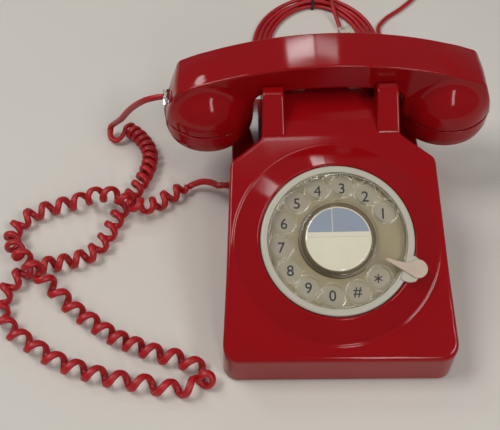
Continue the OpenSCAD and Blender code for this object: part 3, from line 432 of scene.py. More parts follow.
def labelLook(name):
    look = surface(name, label["cream"], 0.42, 0.02, 60, 0.03)
    tree, soft = look.node_tree, label["soft"]
    shader = tree.nodes["Principled BSDF"]
    place = node(tree, "TexCoord").outputs["Object"]
    flat = node(tree, "Mapping", {"Vector": place, "Location": hubFrame.translation,
                                  "Rotation": (case["slope"], 0, 0)}, vector_type="TEXTURE")
    parts = node(tree, "SeparateXYZ", {0: flat.outputs[0]})
    x, y = parts.outputs[0], parts.outputs[1]
    away = node(tree, "VectorMath", {0: flat.outputs[0], 1: (1, 1, 0)}, operation="MULTIPLY")
    away = node(tree, "VectorMath", {0: away.outputs[0]}, operation="LENGTH").outputs["Value"]

    def line(value, at, half):
        off = calc(tree, "ABSOLUTE", calc(tree, "SUBTRACT", value, at))
        return ranged(tree, off, half - soft, half + soft, 1, 0)

    bare = shader.inputs["Base Color"].links[0].from_socket
    inside = ranged(tree, away, label["edge"] - soft, label["edge"] + soft, 1, 0)
    upper = ranged(tree, y, label["topFrom"] - soft, label["topFrom"] + soft, 0, 1)
    divider = calc(tree, "MULTIPLY", line(x, *label["divider"]), upper)
    blue = mixed(tree, divider, label["blue"], label["dividerTone"])
    rule = calc(tree, "MULTIPLY", line(y, *label["rule"]), inside)
    rule = calc(tree, "MULTIPLY", rule, label["ruleStrength"])
    cream = mixed(tree, rule, bare, label["ruleTone"])
    top = calc(tree, "MULTIPLY", upper, inside)
    tree.links.new(mixed(tree, top, cream, blue), shader.inputs["Base Color"])
    return look


# Each surface: its name, colour and roughness, its mottling and the scale of that, how uneven
# its gloss is, and the scale and depth of its grain.
looks = {
    "red": surface("red_moulding", tone(147, 10, 16), 0.085, 0.03, 25, 0.02, 260, 0.000005,
                   Specular_IOR_Level=0.3),
    "cord": surface("red_cord", tone(172, 14, 22), 0.42, 0.07, 90, 0.05, 2400, 0.00001),
    "cream": surface("cream_moulding", tone(188, 182, 164), 0.3, 0.03, 50, 0.04, 700),
    "plate": surface("number_plate", tone(166, 158, 142), 0.4, 0.04, 60, 0.04, 700),
    "stop": surface("finger_stop", tone(194, 172, 152), 0.4, 0.04, 120, 0.05, 1500),
    "figures": surface("figures", tone(38, 38, 40), 0.5, 0.05, 200, 0.05),
    # dark brown for the wheel's hub, and painted shade round the label
    "brown": surface("hub_and_shade_brown", tone(104, 88, 62), 0.45, 0.08, 120, 0.06),
    "label": labelLook("label_paper"),
    "clear": letLightThrough(
        surface("clear_wheel", tone(250, 247, 238), 0.12, 0.01, 60, 0.03, 500, 0.000004,
                Transmission_Weight=1.0, IOR=1.4), tone(244, 240, 228)),
    "glassy": letLightThrough(
        surface("clear_cover", tone(250, 249, 244), 0.04, 0.01, 60, 0.02, 300, 0.000004,
                Transmission_Weight=1.0, IOR=1.49), tone(248, 247, 242)),
    "black": surface("black_plastic", tone(26, 26, 28), 0.4, 0.1, 120, 0.06, 900),
    "steel": surface("bare_steel", tone(168, 168, 170), 0.3, 0.05, 140, 0.08, 1600, 0.000006,
                     Metallic=1.0),
    "brass": surface("brass", tone(196, 160, 92), 0.28, 0.06, 150, 0.08, 1500, Metallic=1.0),
    "gong": surface("gong_metal", tone(190, 186, 176), 0.22, 0.05, 100, 0.07, 1800, Metallic=1.0),
    "foot": surface("foot_rubber", tone(34, 33, 33), 0.75, 0.12, 180, 0.06, 2200, 0.00003),
    "tray": surface("base_tray", tone(52, 50, 50), 0.55, 0.08, 60, 0.06, 1200, 0.00002),
    "board": surface("board", tone(120, 92, 52), 0.5, 0.08, 150, 0.06, 1500),
    "coil": surface("coil_wire", tone(150, 78, 40), 0.35, 0.12, 500, 0.08, 3000, 0.00002),
    "guide": surface("guide_nylon", tone(206, 202, 190), 0.45, 0.04, 120, 0.05),
}
print("looks made")


# Smooth curve through a list of points; t counts in points.
def spline(points, t):
    last = len(points) - 1
    i = min(int(t), last - 1)
    f = t - i
    a, b, c, d = points[max(i - 1, 0)], points[i], points[i + 1], points[min(i + 2, last)]
    return 0.5 * (2 * b + (c - a) * f + (2 * a - 5 * b + 4 * c - d) * f * f
                  + (3 * b - a - 3 * c + d) * f ** 3)


# A cord's points from one place to another, straight for a short length at each end and on a
# smooth curve between, through points in millimetres.
def lead(start, out, through, end, into, count):
    inner = [start + out] + [Vector(point) * 0.001 for point in through] + [end - into]
    line = [spline(inner, (len(inner) - 1) * i / count) for i in range(count + 1)]
    return [start] + line + [end]


# The direction of a line of points at one of them.
def wayAt(points, i):
    return (points[min(i + 1, len(points) - 1)] - points[max(i - 1, 0)]).normalized()


# A tube through the points. wide gives the broad side's direction, or None where the last
# one is carried along; the section is a flat oval of the two half sizes.
def tube(name, points, wide, halfWide, halfThin, sides, look, squareness=2.0):
    count = len(points)
    known = [i for i in range(count) if wide[i] is not None]
    broad = list(wide)
    for i in range(known[0] - 1, -1, -1):
        way = wayAt(points, i)
        broad[i] = (broad[i + 1] - way * way.dot(broad[i + 1])).normalized()
    for i in range(known[0], count):
        way = wayAt(points, i)
        side = broad[i] if wide[i] is not None else broad[i - 1]
        broad[i] = (side - way * way.dot(side)).normalized()
    verts, faces = [], []
    for i, point in enumerate(points):
        thin = wayAt(points, i).cross(broad[i])
        for k in range(sides):
            turn = 2 * math.pi * k / sides
            across = math.copysign(abs(math.cos(turn)) ** (2 / squareness), math.cos(turn))
            through = math.copysign(abs(math.sin(turn)) ** (2 / squareness), math.sin(turn))
            verts.append(point + broad[i] * halfWide * across + thin * halfThin * through)
    for i in range(count - 1):
        for k in range(sides):
            n = (k + 1) % sides
            a, b = i * sides, (i + 1) * sides
            faces.append((a + k, a + n, b + n, b + k))
    faces.append(tuple(reversed(range(sides))))
    faces.append(tuple(range((count - 1) * sides, count * sides)))
    piece = meshPiece(name, verts, faces, sharpAngle=50)
    piece.data.materials.append(look)
    return piece


def lengthOf(points):
    return sum((b - a).length for a, b in zip(points, points[1:]))


curlyCord = {
    "flat": (0.0026, 0.0019), "sides": 14, "squareness": 2.6,
    "curlRadius": 0.0050, "curls": 61, "rings": 24,
    # height of the curls' middle on the floor, and how much higher where they cross
    "rest": 0.0073, "climb": 0.0146,
    # straight lengths at the cord's ends and next to the curls
    "straight": 0.004, "easing": 0.002, "topSteps": 60, "footSteps": 42, "blendEnd": 0.027,
    "plugEnd": Vector((-handset["endHalf"] - 0.0006, handset["y"], handset["seam"] + 0.0109)),
    "caseEnd": Vector((-case["rearHalf"] - 0.008, case["shoulder"] + 0.030, 0.022)),
    # x and y in millimetres and the share of the climb, from under the handset to the case
    "route": [
        (-162, 121, 0), (-155, 116, 0), (-149, 109, 0), (-144, 101, 0), (-141, 92, 0),
        (-141, 82, 0), (-143, 72, 0), (-147, 61, 0), (-153, 49, 0), (-160, 35, 0),
        (-165, 21, 0), (-171, 5, 0), (-181, -8, 0), (-197, -14, 0), (-213, -17, 0),
        (-228, -22, 0), (-239, -36, 0), (-242, -54, 0), (-232, -71, 0), (-214, -84, 0),
        (-195, -96, 0), (-175, -104, 0), (-154, -110, 0), (-131, -114, 0), (-107, -118, 0),
        (-88, -110, 0), (-103, -98, 0), (-123, -92, 0), (-141, -85, 0),
        (-156, -78, 0), (-172, -67, 0), (-188, -55, 0), (-203, -41, 0.3),
        (-217, -29, 0.85), (-229, -17, 1), (-241, -1, 0.4), (-244, 16, 0), (-234, 30, 0),
        (-217, 38, 0), (-198, 42, 0.1), (-179, 42, 0.7), (-161, 37, 1), (-146, 33, 0.5),
        (-133, 39, 0), (-120, 49, 0), (-108, 56, 0)],
    "top": [(-135, 81, 81), (-149, 92, 62), (-163, 107, 35), (-172, 119, 18), (-177.5, 123, 9),
            (-177.5, 116, 4.5), (-172, 111.5, 4.5), (-166, 114, 8.5)],
    "foot": [(-102, 58, 8.5), (-95, 56.5, 13), (-88, 51, 18.5)],
}


def addCurlyCord(look):
    part = curlyCord
    route = [Vector((x * 0.001, y * 0.001, part["rest"] + part["climb"] * z))
             for x, y, z in part["route"]]
    last, total, near = len(route) - 1, part["curls"] * part["rings"], 0.1
    coil, axes = [], []
    for i in range(total + 1):
        t = last * i / total
        centre = spline(route, t)
        axis = (spline(route, min(t + near, last)) - spline(route, max(t - near, 0))).normalized()
        side = axis.cross(Vector((0, 0, 1))).normalized()
        up = side.cross(axis)
        turn = math.pi / 2 + 2 * math.pi * i / part["rings"]
        radius = part["curlRadius"] * min(1, (total - i) / part["rings"])
        coil.append(centre + radius * (math.cos(turn) * side + math.sin(turn) * up))
        axes.append(axis)
    inward, outward = (coil[1] - coil[0]).normalized(), (coil[-1] - coil[-2]).normalized()
    start, end = part["plugEnd"], part["caseEnd"]
    straight = Vector((part["straight"], 0, 0))
    top = lead(start, -straight, part["top"], coil[0], part["easing"] * inward, part["topSteps"])
    foot = lead(coil[-1], part["easing"] * outward, part["foot"], end, straight,
                part["footSteps"])
    points = top[:-1] + coil + foot[1:]
    # the wire's broad side lies along the coil, apart from the first and last curl
    held = part["rings"]
    wide = [None] * (len(top) - 1 + held) + axes[held:-held] + [None] * (len(foot) - 1 + held)
    piece = tube("curly_cord_skin", points, wide, *part["flat"], part["sides"], look,
                 part["squareness"])
    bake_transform(piece)
    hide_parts("curly_cord_top", "curly_cord", "curly_cord_foot")
    print("curly cord", round(lengthOf(points), 3), "m")


lineCord = {
    "diameter": 0.0038, "sides": 14, "exit": (-0.035, 0.119, 0.012),
    "straight": 0.004, "easing": 0.003, "startSteps": 60, "endSteps": 140,
    "hankCentre": (0.008, 0.230), "hankHalf": (0.041, 0.050), "loops": 4, "lastTurn": 0.25,
    "rings": 48, "strandGap": 0.001, "hankLift": 0.0007,
    # the tie's place on a turn and its reach; how far out the strands lie there, in steps,
    # how far apart, in diameters, and the gap between their layers
    "tieAt": 0.5, "tieReach": 0.09, "tieOut": 1.3, "tieStep": 0.64, "tieGap": 0.0008,
    "start": [(-35, 137, 9), (-33, 153, 9.6), (-24, 166, 10), (-14, 175.5, 9.4), (-6, 181.4, 6.4),
              (0, 181.6, 3.6)],
    "end": [(69, 250, 2.4), (78, 264, 2.2), (95, 279, 2.2), (111, 298, 2.2), (114, 320, 2.2),
            (102, 341, 2.2), (78, 352, 2.2), (52, 348, 2.2), (35, 333, 3), (28, 316, 7),
            (26, 302, 11), (26, 288, 12), (27, 273, 10)],
    "plug": Vector((0.034, 0.249, 0.0034)), "plugWay": Vector((0.55, -1, 0)).normalized(),
}


# The hank's strands lie side by side; at the tie they are drawn together in two layers.
def hankPoint(t):
    part = lineCord
    wide = part["diameter"]
    step, turn = wide + part["strandGap"], math.radians(-90 + 360 * t)
    strand = max(0, min(part["loops"] - 1, math.floor(t)))
    near = math.exp(-((t - part["tieAt"] - strand) / part["tieReach"]) ** 2)
    tied = step * part["tieOut"] + strand * wide * part["tieStep"]
    off = step * t * (1 - near) + tied * near
    height = wide / 2 + part["hankLift"] + (wide + part["tieGap"]) * (strand % 2) * near
    return Vector((part["hankCentre"][0] + (part["hankHalf"][0] + off) * math.cos(turn),
                   part["hankCentre"][1] + (part["hankHalf"][1] + off) * math.sin(turn), height))


def addLineCord(look):
    part = lineCord
    turns = part["loops"] + part["lastTurn"]
    hank = [hankPoint(i / part["rings"]) for i in range(round(turns * part["rings"]) + 1)]
    inward, outward = (hank[1] - hank[0]).normalized(), (hank[-1] - hank[-2]).normalized()
    start, straight = Vector(part["exit"]), part["straight"]
    first = lead(start, Vector((0, straight, 0)), part["start"], hank[0],
                 part["easing"] * inward, part["startSteps"])
    tail = lead(hank[-1], straight * outward, part["end"], part["plug"],
                straight * part["plugWay"], part["endSteps"])
    points = first[:-1] + hank + tail[1:]
    half = part["diameter"] / 2
    wide = [Vector((1, 0, 0))] + [None] * (len(points) - 1)
    piece = tube("line_cord_skin", points, wide, half, half, part["sides"], look)
    finish(piece, "base", look, ["line_cord_start", "line_cord_hank", "line_cord_end"])
    print("line cord", round(lengthOf(points), 3), "m")


# The case's form, and the openings in it.
caseSkin = {
    "corner": 0.0115, "flare": 0.0022, "chamferEdge": 0.0025, "topEdge": 0.0024,
    "saddleEdge": 0.004, "backEdge": 0.003, "bottomEdge": 0.0008, "neckJoin": 0.0018,
    # the upper form reaches below the ledge; the fillet there sets in over the first length
    # behind the shoulder, and ends the second before the back, over the third
    "overlap": 0.004, "ledgeJoin": 0.0016, "ledgeFade": (0.01, 0.003, 0.004),
    # radius and half depth of the dial's hole; half sizes and bottom of the plungers' slots
    "dialHole": (0.046, 0.02), "plungerX": 0.021, "plungerSlot": (0.0053, 0.0043, 0.085),
    "grip": ((-0.031, 0.090, 0.062), (0.031, 0.130, 0.084)), "gripEdge": 0.0012,
    "grommet": (0.045, 0.022, 0.0036), "gland": (-0.035, 0.012, 0.004),
    "bossHalf": (0.0604, 0.096), "bossRadius": 0.004, "bossBottom": 0.0042,
    # its grid in x, y and z: low, high, coarse step, and where the steps are fine
    "fine": 0.0009, "grid": [
        (-0.0775, 0.0775, 0.0026, bothSides([
            (0.0152, 0.0170), (0.0250, 0.0268), (0.0300, 0.0345), (0.0450, 0.0492),
            (0.0660, 0.0775)])),
        (-0.1115, 0.1115, 0.0023, [
            (-0.1115, -0.1020), (0.0135, 0.0415), (0.0725, 0.0745), (0.0810, 0.0830),
            (0.0870, 0.0930), (0.1000, 0.1115)]),
        (0.0005, 0.0965, 0.0018, [
            (0.0005, 0.0055), (0.0290, 0.0350), (0.0490, 0.0545), (0.0590, 0.0640),
            (0.0825, 0.0870), (0.0900, 0.0965)]),
    ],
}


# The outer form, with no underside.
def caseOutside(x, y, z):
    part = caseSkin
    # the side walls stand out a little more towards the bottom
    away = np.abs(x) - part["flare"] * np.clip(1 - z / case["ledge"], 0, 1)
    taper = math.atan((case["frontHalf"] - case["rearHalf"]) / (case["shoulder"] - case["front"]))
    front = case["front"] - y
    side = (away - case["frontHalf"]) * math.cos(taper) + (y - case["front"]) * math.sin(taper)
    run, rise = case["rearHalf"] - case["neckHalf"], case["neck"] - case["shoulder"]
    size = math.hypot(run, rise)
    chamfer = ((away - case["rearHalf"]) * rise + (y - case["shoulder"]) * run) / size
    slope = ((z - case["lip"]) * math.cos(case["slope"])
             - (y - case["front"]) * math.sin(case["slope"]))
    top = roundMax(slope, z - case["saddleTop"], part["saddleEdge"])
    lean = math.hypot(case["saddleTop"] - case["ledge"], case["back"] - case["crown"])
    back = ((y - case["back"]) * (case["saddleTop"] - case["ledge"])
            + (z - case["ledge"]) * (case["back"] - case["crown"])) / lean
    back = np.maximum(back, y - case["back"])
    wide = roundMax(roundMax(front, side, part["corner"]), chamfer, part["chamferEdge"])
    narrow = np.maximum(case["shoulder"] - y, away - case["neckHalf"])
    upper = roundMax(blendMin(wide, narrow, part["neckJoin"]), top, part["topEdge"])
    upper = roundMax(upper, back, part["backEdge"])
    flank = np.minimum(side, away - case["rearHalf"])
    lower = roundMax(roundMax(front, flank, part["corner"]), y - case["back"], part["corner"])
    lower = roundMax(lower, z - case["ledge"], part["topEdge"])
    lower = roundMax(lower, slope, part["topEdge"])
    upper = np.maximum(upper, case["ledge"] - part["overlap"] - z)
    start, gap, end = part["ledgeFade"]
    beyond = np.clip((y - case["shoulder"]) / start, 0, 1)
    beyond = beyond * np.clip((case["back"] - gap - y) / end, 0, 1)
    return blendMin(upper, lower, part["ledgeJoin"] * beyond)


# The wall of the case, with its screw posts, grip, dial hole, slots and cord holes.
def caseField(x, y, z):
    part = caseSkin
    outer = caseOutside(x, y, z)
    low, high = part["grip"]
    lining = boxField(x, y, z, low, high) - case["wall"]
    bossX, bossY = part["bossHalf"]
    boss = np.hypot(np.abs(x) - bossX, np.abs(y) - bossY) - part["bossRadius"]
    hollow = np.maximum(outer + case["wall"], -lining)
    hollow = np.maximum(hollow, -np.maximum(boss, part["bossBottom"] - z))
    skin = roundMax(outer, case["bottom"] - z, part["bottomEdge"])
    skin = np.maximum(skin, -hollow)
    skin = roundMax(skin, -boxField(x, y, z, low, high), part["gripEdge"])
    cos, sin = math.cos(case["slope"]), math.sin(case["slope"])
    across = (y - dial["centre"].y) * cos + (z - dial["centre"].z) * sin
    height = (z - dial["centre"].z) * cos - (y - dial["centre"].y) * sin
    radius, depth = part["dialHole"]
    hole = np.maximum(np.hypot(x, across) - radius, np.abs(height) - depth)
    skin = np.maximum(skin, -hole)
    halfX, halfY, bottom = part["plungerSlot"]
    slot = np.maximum(np.abs(np.abs(x) - part["plungerX"]) - halfX,
                      np.abs(y - handset["y"]) - halfY)
    skin = np.maximum(skin, -np.maximum(slot, bottom - z))
    holeY, holeZ, radius = part["grommet"]
    skin = np.maximum(skin, -np.maximum(np.hypot(y - holeY, z - holeZ) - radius, x))
    holeX, holeZ, radius = part["gland"]
    return np.maximum(skin, -np.maximum(np.hypot(x - holeX, z - holeZ) - radius, -y))


# The raised cone round the dial: its foot flows out of the face, its rim turns into the well.
cone = {
    "sunk": 0.0004, "skirt": (0.0020, 0.0016), "skim": 0.00003, "footRound": 0.0022,
    "rimWidth": 0.0014, "rimRound": (0.0011, 0.0005), "lip": 0.0002,
}


def addCase(look):
    part = caseSkin
    lines = [gridLines(*row, part["fine"]) for row in part["grid"]]
    finish(fieldPiece("case_skin", caseField, lines), "base", look, ["case_shell"])
    rim, height, foot = dial["wellRadius"], dial["coneHeight"], dial["coneRadius"]
    part, skim = cone, cone["skim"]
    (far, near), (outer, inner) = part["skirt"], part["rimRound"]
    profile = roundedLine([
        (foot + far, -part["sunk"]), (foot + near, skim), (foot, skim, part["footRound"]),
        (rim + part["rimWidth"], height, outer), (rim, height, inner), (rim, part["lip"]),
        (rim, -part["sunk"])], steps=6)
    piece = spun("dial_cone", profile, dialFrame, steps=224, sharpAngle=60)
    finish(piece, "base", look)
    print("case made")


# The prongs that hold the handset, and the rests beside them; both are mirrored.
prongs = {
    "inner": 0.0311, "outer": 0.0475, "rearInset": 0.001, "low": 0.0868,
    # side view of the prongs as y and z
    "front": [(0.0312, 0.0890), (0.0312, 0.0922), (0.0520, 0.1088), (0.0552, 0.1105),
              (0.0614, 0.1107), (0.0614, 0.0890)],
    "rear": [(0.0936, 0.0905), (0.0936, 0.1090), (0.0966, 0.1090), (0.1016, 0.0988),
             (0.1016, 0.0905)],
    "frontNarrowing": 0.0009, "rearNarrowing": 0.0006, "frontEdge": 0.0016, "rearEdge": 0.0014,
    # low and high corner of the rest beside the prongs; its top follows the handset's arch
    "rest": ((0.0321, 0.0650, 0.0925), (0.0401, 0.0900)), "restSteps": 6, "restEdge": 0.0008,
    "restGap": 0.0003,
}
# Local x and y of a side view stand for the object's y and z, local z for its x.
sideView = Matrix(((0, 0, 1, 0), (1, 0, 0, 0), (0, 1, 0, 0), (0, 0, 0, 1)))
# Local y of a front view stands for z, and local z for -y.
frontView = Matrix.Rotation(math.pi / 2, 4, "X")


def addProngs(look):
    part = prongs
    for kind, inset in (("front", 0), ("rear", part["rearInset"])):
        inner, outer = part["inner"] + inset, part["outer"] - inset
        outline = part[kind]
        right = extruded(kind + "_prong_right", outline, inner, outer, sideView)
        top, middle = max(z for y, z in outline), (inner + outer) / 2
        for vert in right.data.vertices:
            rise = max(0, (vert.co.z - part["low"]) / (top - part["low"]))
            vert.co.x -= math.copysign(part[kind + "Narrowing"] * rise, vert.co.x - middle)
        roundEdges(right, part[kind + "Edge"], 5, 12)
        for piece in (mirrored(right, kind + "_prong_left"), right):
            finish(polish(piece, 40), "base", look)
    low, high = part["rest"]
    under = handset["archRadius"] - handset["depth"]
    steps = part["restSteps"]
    xs = [low[0] + (high[0] - low[0]) * k / steps for k in range(steps + 1)]
    outline = [(x, handset["archZ"] + math.sqrt(under ** 2 - x ** 2) - part["restGap"])
               for x in xs]
    outline += [(high[0], low[2]), (low[0], low[2])]
    rest = extruded("cradle_rest_right", outline, -high[1], -low[1], frontView)
    roundEdges(rest, part["restEdge"], 3, 40)
    for piece in (mirrored(rest, "cradle_rest_left"), rest):
        finish(polish(piece), "base", look)
    print("prongs made")


# The handset's form: a curved bar with a round cup at each end.
handsetSkin = {
    "ridge": 0.0014, "endEdge": 0.0026, "endJoin": 0.004, "underEdge": 0.0028, "cupJoin": 0.0060,
    "lean": 0.0019, "innerX": (0.0545, 0.0485), "innerEdge": 0.007, "seamEdge": 0.0004,
    "capGap": 0.0002, "cupAbove": 0.002,
    "jack": ((-0.130, 0.0715, 0.0832), (-0.1011, 0.0835, 0.0922)),
    # its grid in x, y and z: low, high, coarse step, and where the steps are fine
    "fine": (0.0007, 0.0006, 0.0006), "grid": [
        (-0.1205, 0.1205, 0.0014, bothSides([(0.1040, 0.1205)])),
        (0.0440, 0.1110, 0.0012, [(0.0585, 0.0645), (0.0905, 0.0965)]),
        (handset["seam"] - 0.0012, 0.1290, 0.0012,
         [(handset["seam"] - 0.0012, handset["seam"] + 0.0012)]),
    ],
}


# The whole form above the seam.
def handsetForm(x, y, z):
    part, away = handsetSkin, np.abs(x)
    under = handset["archRadius"] - handset["depth"]
    arch = np.hypot(x, z - handset["archZ"])
    topEnd = handset["archZ"] + math.sqrt(handset["archRadius"] ** 2 - handset["topHalf"] ** 2)
    run, drop = handset["endHalf"] - handset["topHalf"], topEnd - handset["seam"]
    end = ((away - handset["topHalf"]) * drop + (z - topEnd) * run) / math.hypot(run, drop)
    # towards the seam the ends follow the caps round
    cap = np.hypot(np.maximum(away - handset["capX"], 0), y - handset["y"])
    end = roundMax(end, cap - handset["capRadius"] - part["capGap"], part["endJoin"])
    top = roundMax(arch - handset["archRadius"], end, part["endEdge"])
    # front and back stand out a little towards the top
    high = np.clip(1 - (handset["archRadius"] - arch) / handset["depth"], 0, 1)
    side = np.abs(y - handset["y"]) - handset["width"] / 2 - part["lean"] * high ** 2
    seamX, topX = part["innerX"]
    lean = math.atan((seamX - topX) / (handset["top"] - handset["seam"]))
    within = (away - seamX) * math.cos(lean) + (z - handset["seam"]) * math.sin(lean)
    beneath = roundMax(arch - under, within, part["innerEdge"])
    handle = roundMax(roundMax(side, top, part["ridge"]), -beneath, part["underEdge"])
    cupHeight = topEnd - handset["seam"] + part["cupAbove"]
    share = np.maximum((z - handset["seam"]) / cupHeight, 0)
    fall = handset["capRadius"] - handset["cupTopRadius"]
    steep = fall / cupHeight * handset["domeBulge"] * share ** (handset["domeBulge"] - 1)
    radius = handset["cupTopRadius"] + fall * (1 - share ** handset["domeBulge"])
    dome = np.hypot(away - handset["capX"], y - handset["y"]) - radius
    dome = roundMax(dome / np.sqrt(1 + steep ** 2), top, part["endEdge"])
    return blendMin(handle, dome, part["cupJoin"])


# Its wall, open at the seam and where the socket goes in.
def handsetField(x, y, z):
    part = handsetSkin
    form = handsetForm(x, y, z)
    skin = roundMax(form, handset["seam"] - z, part["seamEdge"])
    skin = np.maximum(skin, -(form + handset["wall"]))
    return np.maximum(skin, -boxField(x, y, z, *part["jack"]))


def addHandset(look):
    part = handsetSkin
    lines = [gridLines(*row, fine) for row, fine in zip(part["grid"], part["fine"])]
    piece = fieldPiece("handset_skin", handsetField, lines)
    finish(piece, "handset", look, ["handset_shell"])
    print("handset made")


# Round pieces of the dial: outline as radius, height and rounding, steps of a rounding and of
# the whole turn, frame, body, look, the node it stands for, and slot.
rounds = {
    "number_plate_face": (
        [(0, 0.0024), (0.0453, 0.0024), (0.0453, dial["plateTop"], 0.0004), (0, dial["plateTop"])],
        3, 160, dialFrame, "base", "plate", ["number_plate"], "cream"),
    "dial_rim": (
        [(0.0456, 0.0024), (0.0502, 0.0024), (0.0502, 0.0104, 0.0016), (0.0456, 0.0104, 0.0007)],
        5, 192, dialFrame, "base", "cream", ["dial_ring"], "cream"),
    # the hub under the wheel; its dark brown is partly painted shade under the label
    "wheel_hub": (
        [(0.0180, 0.0050), (0.0243, 0.0050), (0.0243, 0.0074, 0.0002), (0.0180, 0.0074)],
        3, 96, hubFrame, "dial_rotor", "brown", [], "cream"),
    # a thin dark brown ring at the label's edge: painted shade in the gap round the label
    "label_shade_ring": (
        [(0.0214, 0.0099), (0.0227, 0.0099), (0.0227, 0.0104, 0.0002), (0.0214, 0.0104)],
        3, 96, hubFrame, "dial_rotor", "brown", [], "cream"),
    "round_label": (
        [(0, 0.0098), (0.0215, 0.0098), (0.0215, 0.0101), (0, 0.0101)],
        3, 128, hubFrame, "dial_rotor", "label", ["dial_label"], "label"),
    "label_clamp": (
        [(0.0217, 0.0097), (0.0244, 0.0097), (0.0244, 0.0112, 0.0008), (0.0217, 0.0112, 0.0005)],
        4, 160, hubFrame, "dial_rotor", "glassy", ["label_ring"], "clear"),
    "label_window": (
        [(0, 0.01015), (0.0216, 0.01015), (0.0216, 0.0105, 0.0003), (0.0205, 0.0109, 0.0008),
         (0, 0.0109)],
        3, 128, hubFrame, "dial_rotor", "glassy", ["label_cover"], "clear"),
}


def addRound(name, outline, arcs, steps, place, body, look, nodes, slot):
    piece = spun(name, roundedLine(outline, True, arcs), place, steps)
    finish(piece, body, looks[look], nodes)


# The figures seen through the finger holes, from the first hole on.
figures = {
    "signs": "1234567890#*", "names": {"#": "hash", "*": "star"}, "circle": 0.0364,
    "height": 0.0072, "share": {"*": 0.84, "#": 0.94}, "thickness": 0.00008, "lift": 0.00003,
    "weight": 0.007, "starBar": (0.13, 1, 0.02),
}


# The directions from the dial's middle to its finger holes.
def holePlaces():
    places = []
    for i in range(dial["holes"]):
        turn = math.radians(dial["firstHole"] + dial["holeStep"] * i)
        places.append(Vector((math.cos(turn), math.sin(turn), 0)))
    return places


def addFigures(look):
    part = figures
    lift = Vector((0, 0, dial["plateTop"] + part["lift"]))
    for sign, place in zip(part["signs"], holePlaces()):
        mesh = starMesh() if sign == "*" else figureMesh(sign)
        corners = np.array([vert.co for vert in mesh.verts])
        low, high = corners.min(0), corners.max(0)
        scale = part["share"].get(sign, 1) * part["height"] / (high[1] - low[1])
        thick = part["thickness"] / (high[2] - low[2])
        bmesh.ops.translate(mesh, vec=-Vector((low + high) / 2), verts=mesh.verts)
        bmesh.ops.scale(mesh, vec=(scale, scale, thick), verts=mesh.verts)
        bmesh.ops.translate(mesh, vec=place * part["circle"] + lift, verts=mesh.verts)
        figure = pieceFrom("figure_" + part["names"].get(sign, sign), mesh, dialFrame)
        finish(figure, "base", look)


# A figure of Blender's own type, made a little bolder, apart from the 4, which would fill up.
def figureMesh(sign):
    curve = bpy.data.curves.new("figure", "FONT")
    curve.body, curve.extrude, curve.resolution_u = sign, 0.01, 5
    curve.offset = 0.0 if sign == "4" else figures["weight"]
    text = linked("figure", curve)
    graph = bpy.context.evaluated_depsgraph_get()
    mesh = bmesh.new()
    mesh.from_mesh(bpy.data.meshes.new_from_object(text.evaluated_get(graph)))
    bpy.data.objects.remove(text)
    bpy.data.curves.remove(curve)
    bmesh.ops.remove_doubles(mesh, verts=mesh.verts, dist=1e-5)
    return mesh


# A star of six arms, made of three bars.
def starMesh():
    mesh = bmesh.new()
    for k in range(3):
        bar = bmesh.ops.create_cube(mesh, size=1)["verts"]
        bmesh.ops.scale(mesh, vec=figures["starBar"], verts=bar)
        bmesh.ops.rotate(mesh, matrix=Matrix.Rotation(math.radians(60 * k), 3, "Z"), verts=bar)
    return mesh


# The block under the finger stop, as an outline in the dial's plane.
stopBlock = {
    "outline": [(0.0440, -0.0122), (0.0490, -0.0122), (0.0518, -0.0146), (0.0528, -0.0186),
                (0.0516, -0.0250), (0.0484, -0.0288), (0.0446, -0.0294), (0.0390, -0.0276)],
    "low": 0.0092, "high": 0.0118, "corner": 0.0012, "edge": 0.0005,
}


def addStopBlock(look):
    part = stopBlock
    outline = roundedLine([(x, y, part["corner"]) for x, y in part["outline"]], True, 4)
    block = extruded("stop_block", outline, part["low"], part["high"], dialFrame)
    finish(polish(roundEdges(block, part["edge"], 3, 50)), "base", look)


# The clear wheel: a disc with lips round its holes, a collar and thin raised ribs. A collar or
# a lip is given by radius and top, a rib by half width and top.
wheel = {
    "edge": 0.0004, "collar": (0.0258, 0.0112), "collarDrop": 0.0008, "collarJoin": 0.0008,
    "lip": (0.0082, 0.0104), "lipJoin": 0.0006, "rib": (0.0004, 0.0102), "ribJoin": 0.0005,
    "hubGap": 0.0001, "recess": 0.0002, "trim": 0.0004,
    # its grid lines across and upwards: from, to and step
    "across": (-0.0456, 0.0457, 0.0004),
    "up": ((0.0070, 0.0096, 0.0004), (0.0096, 0.0113, 0.00022)),
}


# Ribs run straight from hole to hole along their outer sides.
def ribEnds():
    places = holePlaces()
    for one, two in zip(places, places[1:]):
        out = (one + two).normalized() * (wheel["lip"][0] - wheel["rib"][0])
        yield one * dial["holeCircle"] + out, two * dial["holeCircle"] + out


